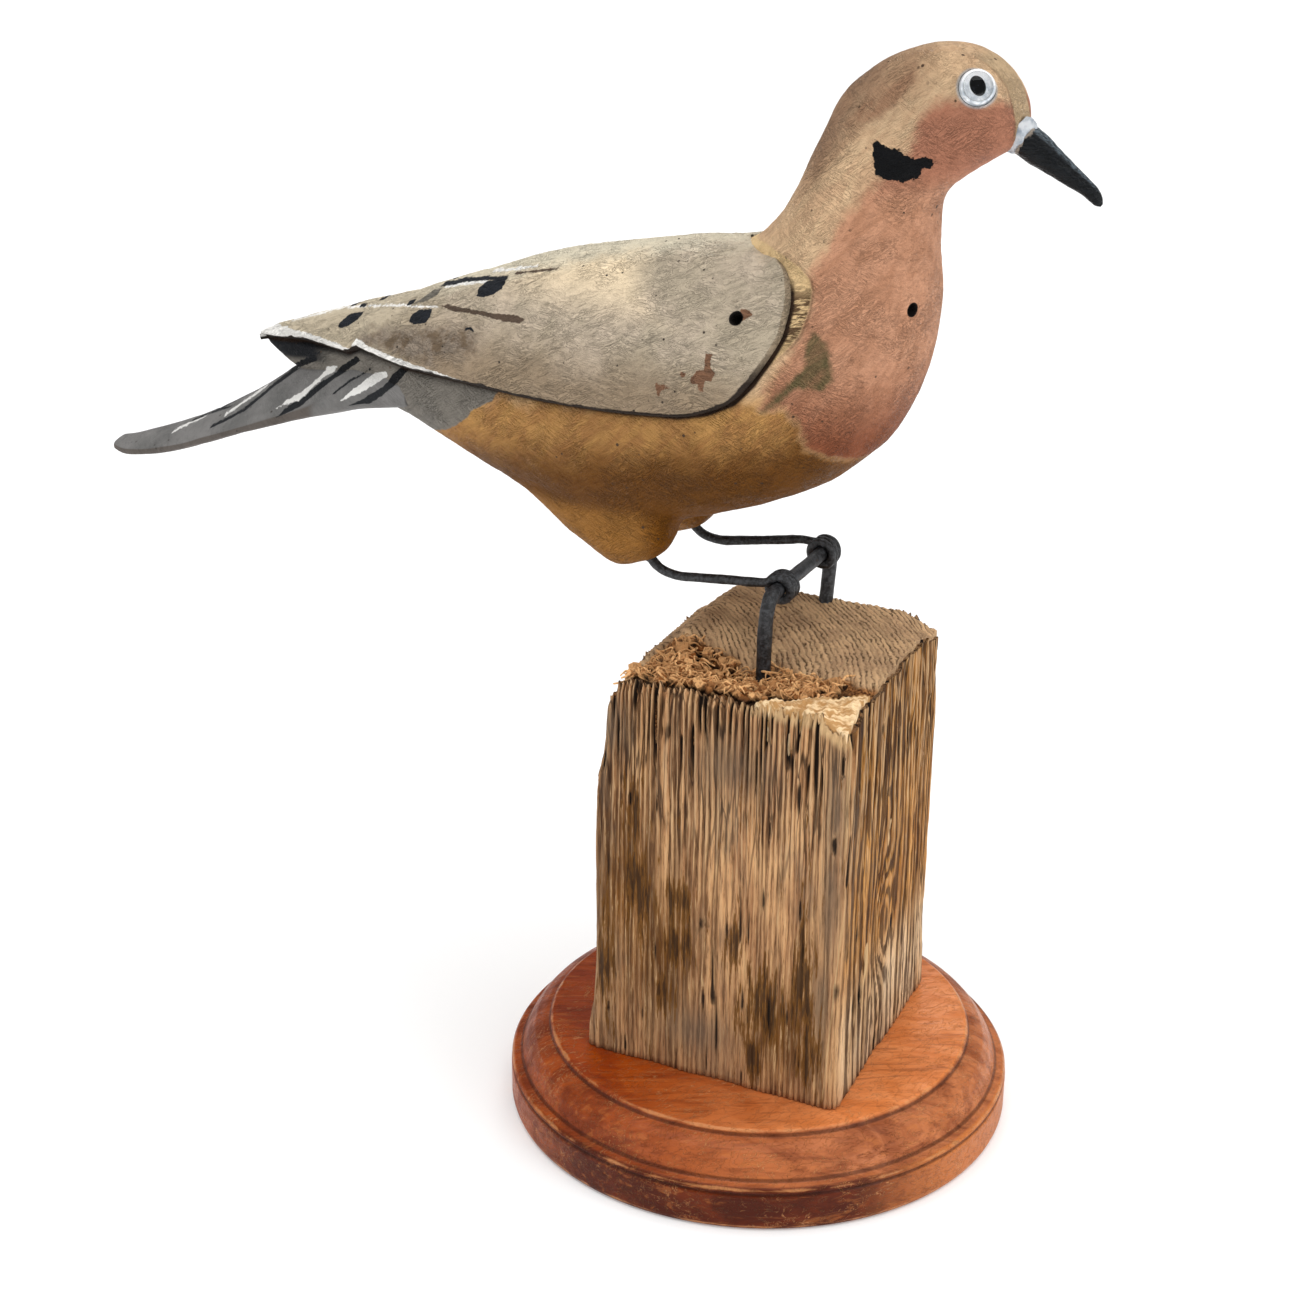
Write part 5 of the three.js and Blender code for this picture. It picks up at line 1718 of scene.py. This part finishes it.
def post_side_paint():
    paint = Paint("post_side_wood")
    wave, tone = ring_wood(paint)
    right = paint.mark("right")
    height = paint.add("ShaderNodeSeparateXYZ", {0: paint.place}).outputs["Z"]
    fibres = paint.noise(1.0, 4, 0.65, paint.lay((0.0006, 0.0006, 0.01)))
    broad = paint.band(paint.noise(1.0, 4, 0.6, paint.lay((0.008, 0.008, 0.03))), 0.35, 0.65)
    across = paint.mark("left")
    color = paint.mix(broad, rgb("b48259"), rgb("e1ae7b"))
    color = paint.mix(across, color, paint.mix(broad, rgb("633d1a"), rgb("855626")))
    warm = paint.mix(broad, rgb("a56b30"), rgb("cb8e48"))
    warm = paint.mix(paint.band(height, 0.07, 0.045), warm, paint.mix(broad, rgb("cda579"), rgb("fad9b0")))
    warm = paint.tint(paint.band(height, 0.105, 0.125), warm, 0.72)
    color = paint.mix(right, color, warm)
    color = paint.tint(paint.band(tone, 0.6, 0.0), color, 0.7)
    color = paint.mix(paint.band(fibres, 0.5, 0.32, 0.0, 0.8), color, rgb("52341b"))
    color = paint.mix(paint.band(fibres, 0.54, 0.7, 0.0, 0.65), color, rgb("e2bb88"))
    patchy = paint.band(paint.noise(1.0, 3, 0.6, paint.lay((0.004, 0.004, 0.02))), 0.35, 0.6, 0.3, 1.0)
    patchy = paint.math("MAXIMUM", patchy, paint.math("MULTIPLY", right, 0.85))
    uneven = paint.math("MULTIPLY_ADD", tone, 1.1, paint.math("SUBTRACT", wave, 0.6))
    low_down = paint.band(height, 0.115, 0.085)
    front_groove = paint.math("MULTIPLY", paint.band(uneven, -0.15, -0.9), paint.band(low_down, 0, 1, 0.85, 0.5))
    right_groove = paint.band(wave, 0.35, -0.55, 0.0, 0.92)
    groove = paint.add("ShaderNodeMix", {0: right, 2: front_groove, 3: right_groove}).outputs[0]
    color = paint.mix(paint.math("MULTIPLY", groove, patchy), color, rgb("3d2410"))
    color = paint.mix(paint.math("MULTIPLY", paint.band(wave, 0.45, 0.95), paint.band(low_down, 0, 1, 0.5, 0.2)), color, rgb("dcb68a"))
    plates = paint.cells(1.0, paint.lay((0.0021, 0.0021, 0.05)), "DISTANCE_TO_EDGE")
    between = paint.math("MULTIPLY", paint.band(plates, 0.07, 0.015), paint.band(height, 0.075, 0.125, 0.1, 0.8))
    color = paint.mix(between, color, rgb("2b180b"))
    grey = paint.band(paint.noise(1.0, 5, 0.6, paint.lay((0.013, 0.013, 0.04))), 0.52, 0.66, 0.0, 0.35)
    greyed = paint.math("MAXIMUM", grey, paint.math("MULTIPLY", paint.mark("greyed"), 0.7))
    color = paint.mix(greyed, color, paint.mix(fibres, rgb("443629"), rgb("89735f")))
    drawn = paint.noise(1.0, 4, 0.7, paint.lay((0.0015, 0.0015, 0.02)))
    wet = paint.math("MULTIPLY_ADD", paint.math("SUBTRACT", drawn, 0.5), 3.6, paint.mark("rust"))
    rusty = paint.mix(paint.band(wet, 0.66, 1.0), rgb("6f4718"), rgb("38210a"))
    color = paint.mix(paint.band(wet, 0.42, 0.66, 0.0, 0.9), color, rusty)
    color = paint.mix(paint.band(paint.mark("paled"), 0.35, 0.9), color, paint.mix(fibres, rgb("a98257"), rgb("e8c594")))
    # Painted shade in the pits, slots and slit.
    color = paint.mix(paint.band(paint.mark("cavity_shade"), 0.4, 0.85), color, rgb("1d1209"))
    normal = paint.bump(paint.math("MULTIPLY_ADD", wave, 0.12, fibres), 0.0009, 0.9)
    return paint.finish(color, 0.85, normal, Specular_IOR_Level=0.2)


def post_top_paint():
    paint = Paint("post_end_wood")
    wave, tone = ring_wood(paint)
    grit = paint.noise(1100, 4, 0.65)
    color = paint.mix(paint.band(paint.noise(90, 4), 0.35, 0.65), rgb("b89470"), rgb("d6af84"))
    color = paint.tint(paint.band(tone, 0.6, 0.0), color, 0.8)
    faded = paint.band(paint.noise(170, 3, 0.6), 0.35, 0.6, 0.3, 1.0)
    broken_line = paint.math("MULTIPLY", paint.band(grit, 0.36, 0.54, 0.25, 1.0), faded)
    line = paint.math("MULTIPLY", paint.band(wave, 0.0, -0.8), broken_line)
    color = paint.mix(paint.math("MULTIPLY", line, 0.95), color, rgb("463221"))
    color = paint.mix(paint.band(grit, 0.56, 0.66, 0.0, 0.7), color, rgb("dbb98c"))
    rotten_color = paint.mix(paint.band(grit, 0.4, 0.6), rgb("4a2a12"), rgb("a87242"))
    # Painted shade: the rot darker the deeper it lies.
    rotten_color = paint.mix(paint.band(paint.mark("depth"), 2.2, 3.8), rotten_color, rgb("170c05"))
    color = paint.mix(paint.band(paint.mark("rot"), 0.2, 0.7), color, rotten_color)
    veins = paint.noise(1.0, 4, 0.6, paint.lay((0.006, 0.002, 0.006), (0, 0, 0.6)), 1.2)
    cream = paint.mix(paint.band(veins, 0.42, 0.6), rgb("c2945f"), rgb("fbdcae"))
    color = paint.mix(paint.band(paint.mark("cream"), 0.3, 0.7), color, cream)
    return paint.finish(color, 0.88, paint.bump(grit, 0.0009, 0.8), Specular_IOR_Level=0.2)


def crumb_paint():
    paint = Paint("post_crumb_wood")
    grit = paint.noise(1.0, 4, 0.65, paint.lay((0.0009, 0.0009, 0.0035)))
    color = paint.mix(paint.mark("tone"), rgb("8a5224"), rgb("fbc588"))
    color = paint.mix(paint.band(grit, 0.5, 0.35, 0.0, 0.7), color, rgb("5a3518"))
    # Painted shade: crumbs darker the lower they lie below the top.
    color = paint.mix(paint.band(paint.mark("low"), 0.0, 1.7, 0.0, 0.95), color, rgb("1c0f06"))
    return paint.finish(color, 0.85, paint.bump(grit, 0.0006, 0.8), Specular_IOR_Level=0.2)


finish_piece(post_sides, ["post_block"], post_side_paint())
finish_piece(post_cap, ["post_block"], post_top_paint())
finish_piece(post_crumbs, ["post_block"], crumb_paint())

# %% [markdown]
# The plinth
#
# A turned plaque: a profile carried round an axis, then stained red-brown and varnished.

# %%
PLINTH_PROFILE = [
    [0.05, 0],
    [74.6, 0],
    [75.8, 0.5],
    [76.2, 1.7],
    [76.2, 11.1],
    [75.6, 11.8],
    [76.1, 12.7],
    [75.3, 13.8],
    [73.3, 14.2],
    [72.7, 15],
    [72, 16.8],
    [70.8, 19.2],
    [68.8, 21.6],
    [66.2, 23],
    [64.4, 23.5],
    [64.1, 24.7],
    [63.2, 25.4],
    [0.05, 25.4],
]


def softened(profile, count, radius):
    """A profile cut at equal lengths and averaged over a short way, so that no corner is sharp."""
    profile = np.asarray(profile, float)
    length = np.concatenate([[0], np.cumsum(np.linalg.norm(np.diff(profile, axis=0), axis=1))])
    at = np.linspace(0, length[-1], 6000)
    fine = np.stack([np.interp(at, length, profile[:, k]) for k in (0, 1)], -1)
    reach = max(1, int(radius / (at[1] - at[0])))
    padded = np.pad(fine, ((reach, reach), (0, 0)), mode="edge")
    total = np.cumsum(np.vstack([[0, 0], padded]), 0)
    mean = (total[2 * reach + 1 :] - total[: -2 * reach - 1]) / (2 * reach + 1)
    edge_part = (mean[:, 0] > 60).nonzero()[0]
    first, last = edge_part[0], edge_part[-1]
    picks = [np.linspace(0, first, 8), np.linspace(first, last, count), np.linspace(last, 5999, 12)]
    keep = np.unique(np.concatenate(picks).astype(int))
    mean[0], mean[-1] = profile[0], profile[-1]
    return mean[keep]


plinth_rings = turned(softened(PLINTH_PROFILE, 110, 0.22), 300)
plinth_disc = make_mesh("plinth_disc", *rings_shell(plinth_rings))


skin = places(plinth_disc)
out_from_axis = np.hypot(skin[:, 0], skin[:, 1])
WORN_EDGES = [[63.7, 25.2], [75.9, 13.3], [76, 1.2]]
off_edge = np.min([np.hypot(out_from_axis - r, skin[:, 2] - h) for r, h in WORN_EDGES], 0)
mark(plinth_disc, "off_edge", off_edge)
mark(plinth_disc, "out", out_from_axis)
GROOVES = [[75.6, 11.8], [72.9, 14.6], [64.3, 24]]
off_groove = np.min([np.hypot(out_from_axis - r, skin[:, 2] - h) for r, h in GROOVES], 0)
mark(plinth_disc, "off_groove", off_groove)


def plinth_paint():
    paint = Paint("plinth_stain")
    grain = paint.noise(1.0, 5, 0.65, paint.lay((0.02, 0.0022, 0.0022), (0, 0, 0.5)), 0.6)
    cloud = paint.noise(1.0, 5, 0.6, paint.lay((0.03, 0.012, 0.012), (0, 0, 0.3)), 1.2)
    blot = paint.band(cloud, 0.36, 0.62)
    # Painted light: the top and the moulding lighter towards the right, where the light falls and the varnish shines.
    lit_right = paint.band(paint.add("ShaderNodeSeparateXYZ", {0: paint.place}).outputs["X"], -0.03, 0.07)
    top = paint.mix(lit_right, paint.mix(blot, rgb("9c4107"), rgb("86320a")), paint.mix(blot, rgb("e8935a"), rgb("d67d42")))
    side = paint.mix(blot, rgb("9a461a"), rgb("752f0f"))
    side = paint.mix(lit_right, side, paint.mix(blot, rgb("b97045"), rgb("904e2b")))
    color = paint.mix(paint.band(paint.mark("out"), 63.2, 64.2), top, side)
    along = paint.add("ShaderNodeSeparateXYZ", {0: paint.place}).outputs["X"]
    # Painted light and shade on the wall: darkest in front, lighter to the left, lightest to the right.
    wall = paint.mix(blot, rgb("66270b"), rgb("481806"))
    wall = paint.mix(paint.band(along, -0.02, -0.06), wall, paint.mix(blot, rgb("ac5010"), rgb("883706")))
    wall = paint.mix(paint.band(along, 0.052, 0.076), wall, rgb("bb6d38"))
    color = paint.mix(paint.band(paint.mark("out"), 74.6, 75.6), color, wall)
    color = paint.mix(paint.band(grain, 0.52, 0.66, 0.0, 0.34), color, rgb("45160a"))
    color = paint.mix(paint.band(grain, 0.46, 0.34, 0.0, 0.3), color, rgb("c2743c"))
    field = paint.noise(1.0, 3, 0.6, paint.lay((0.009, 0.0035, 0.0035), (0, 0, 1.1)), 1.6)
    scratch = paint.band(paint.math("ABSOLUTE", paint.math("SUBTRACT", field, 0.5)), 0.02, 0.0)
    color = paint.mix(paint.math("MULTIPLY", scratch, paint.band(paint.noise(60, 3), 0.42, 0.6, 0.08, 0.6)), color, rgb("d4935f"))
    worn = paint.math("MULTIPLY_ADD", paint.math("SUBTRACT", cloud, 0.5), 3.0, paint.mark("off_edge"))
    color = paint.mix(paint.band(worn, 0.5, 0.0, 0.0, 0.6), color, rgb("c98a58"))
    # Painted shade in the grooves of the profile.
    color = paint.mix(paint.band(paint.mark("off_groove"), 0.9, 0.3, 0.0, 0.6), color, rgb("2a0c04"))
    dents = paint.math("MULTIPLY_ADD", scratch, -0.5, paint.math("MULTIPLY", grain, 1.2))
    gloss = paint.band(cloud, 0.35, 0.65, 0.26, 0.42)
    return paint.finish(color, gloss, paint.bump(dents, 0.0004, 0.8), Specular_IOR_Level=0.13)


finish_piece(plinth_disc, ["plinth"], plinth_paint())

# %% [markdown]
# The camera, the light and the floor
#
# The camera stands where the photograph was taken from: in front on the bird's right side, a
# little above, with a long lens.

# %%
CAMERA_AT = (249.6, -588.1, 415.3)
CAMERA_YAW, CAMERA_PITCH, CAMERA_ROLL = 25.8975, 23.01, 0.3639
FOCAL_PIXELS, IMAGE_PIXELS = 2400, 1312

camera_data = bpy.data.cameras.new("camera")
camera_data.sensor_width = 36
camera_data.lens = FOCAL_PIXELS / IMAGE_PIXELS * 36
camera = bpy.data.objects.new("camera", camera_data)
bpy.context.collection.objects.link(camera)
camera.matrix_world = (
    Matrix.Translation(Vector(CAMERA_AT) * MM)
    @ Matrix.Rotation(math.radians(CAMERA_YAW), 4, "Z")
    @ Matrix.Rotation(math.radians(90 - CAMERA_PITCH), 4, "X")
    @ Matrix.Rotation(math.radians(CAMERA_ROLL), 4, "Z")
)
scene = bpy.context.scene
scene.camera = camera
scene.render.resolution_x = scene.render.resolution_y = IMAGE_PIXELS


def softbox(name, place, target, size, power, color=(1, 1, 1)):
    """A square area light that looks at a target."""
    data = bpy.data.lights.new(name, "AREA")
    data.size = size
    data.energy = power
    data.color = color
    light = bpy.data.objects.new(name, data)
    bpy.context.collection.objects.link(light)
    light.location = place
    light.rotation_euler = (Vector(target) - Vector(place)).to_track_quat("-Z", "Y").to_euler()
    return light


def sunlight(name, place, power, spread):
    """A distant soft light that shines from a place towards the plinth."""
    data = bpy.data.lights.new(name, "SUN")
    data.energy = power
    data.angle = math.radians(spread)
    light = bpy.data.objects.new(name, data)
    bpy.context.collection.objects.link(light)
    light.rotation_euler = Vector(place).to_track_quat("Z", "Y").to_euler()


sunlight("ceiling", (0.1, 0.0, 1.0), 2.7, 80)
softbox("panel_right", (1.1, -0.3, 0.35), (0, 0, 0.15), 0.7, 5.5)
softbox("panel_back", (-0.36, 1.2, 0.8), (0, 0, 0.03), 0.3, 1.3)
softbox("panel_left", (-0.8, -1.0, 0.45), (0, 0, 0.15), 0.6, 4.0)

world = bpy.data.worlds.new("studio")
world.use_nodes = True
world.node_tree.nodes["Background"].inputs["Color"].default_value = (1, 1, 1, 1)
world.node_tree.nodes["Background"].inputs["Strength"].default_value = 0.28
scene.world = world
scene.view_settings.view_transform = "Standard"

bpy.ops.mesh.primitive_plane_add(size=14, location=(0, 0, -0.0002))
floor = bpy.context.object
floor.name = "floor"
floor_paint = Paint("floor_white")
floor.data.materials.append(
    floor_paint.finish((0.8, 0.8, 0.8), 0.9, Emission_Color=(1, 1, 1, 1), Emission_Strength=0.2)
)
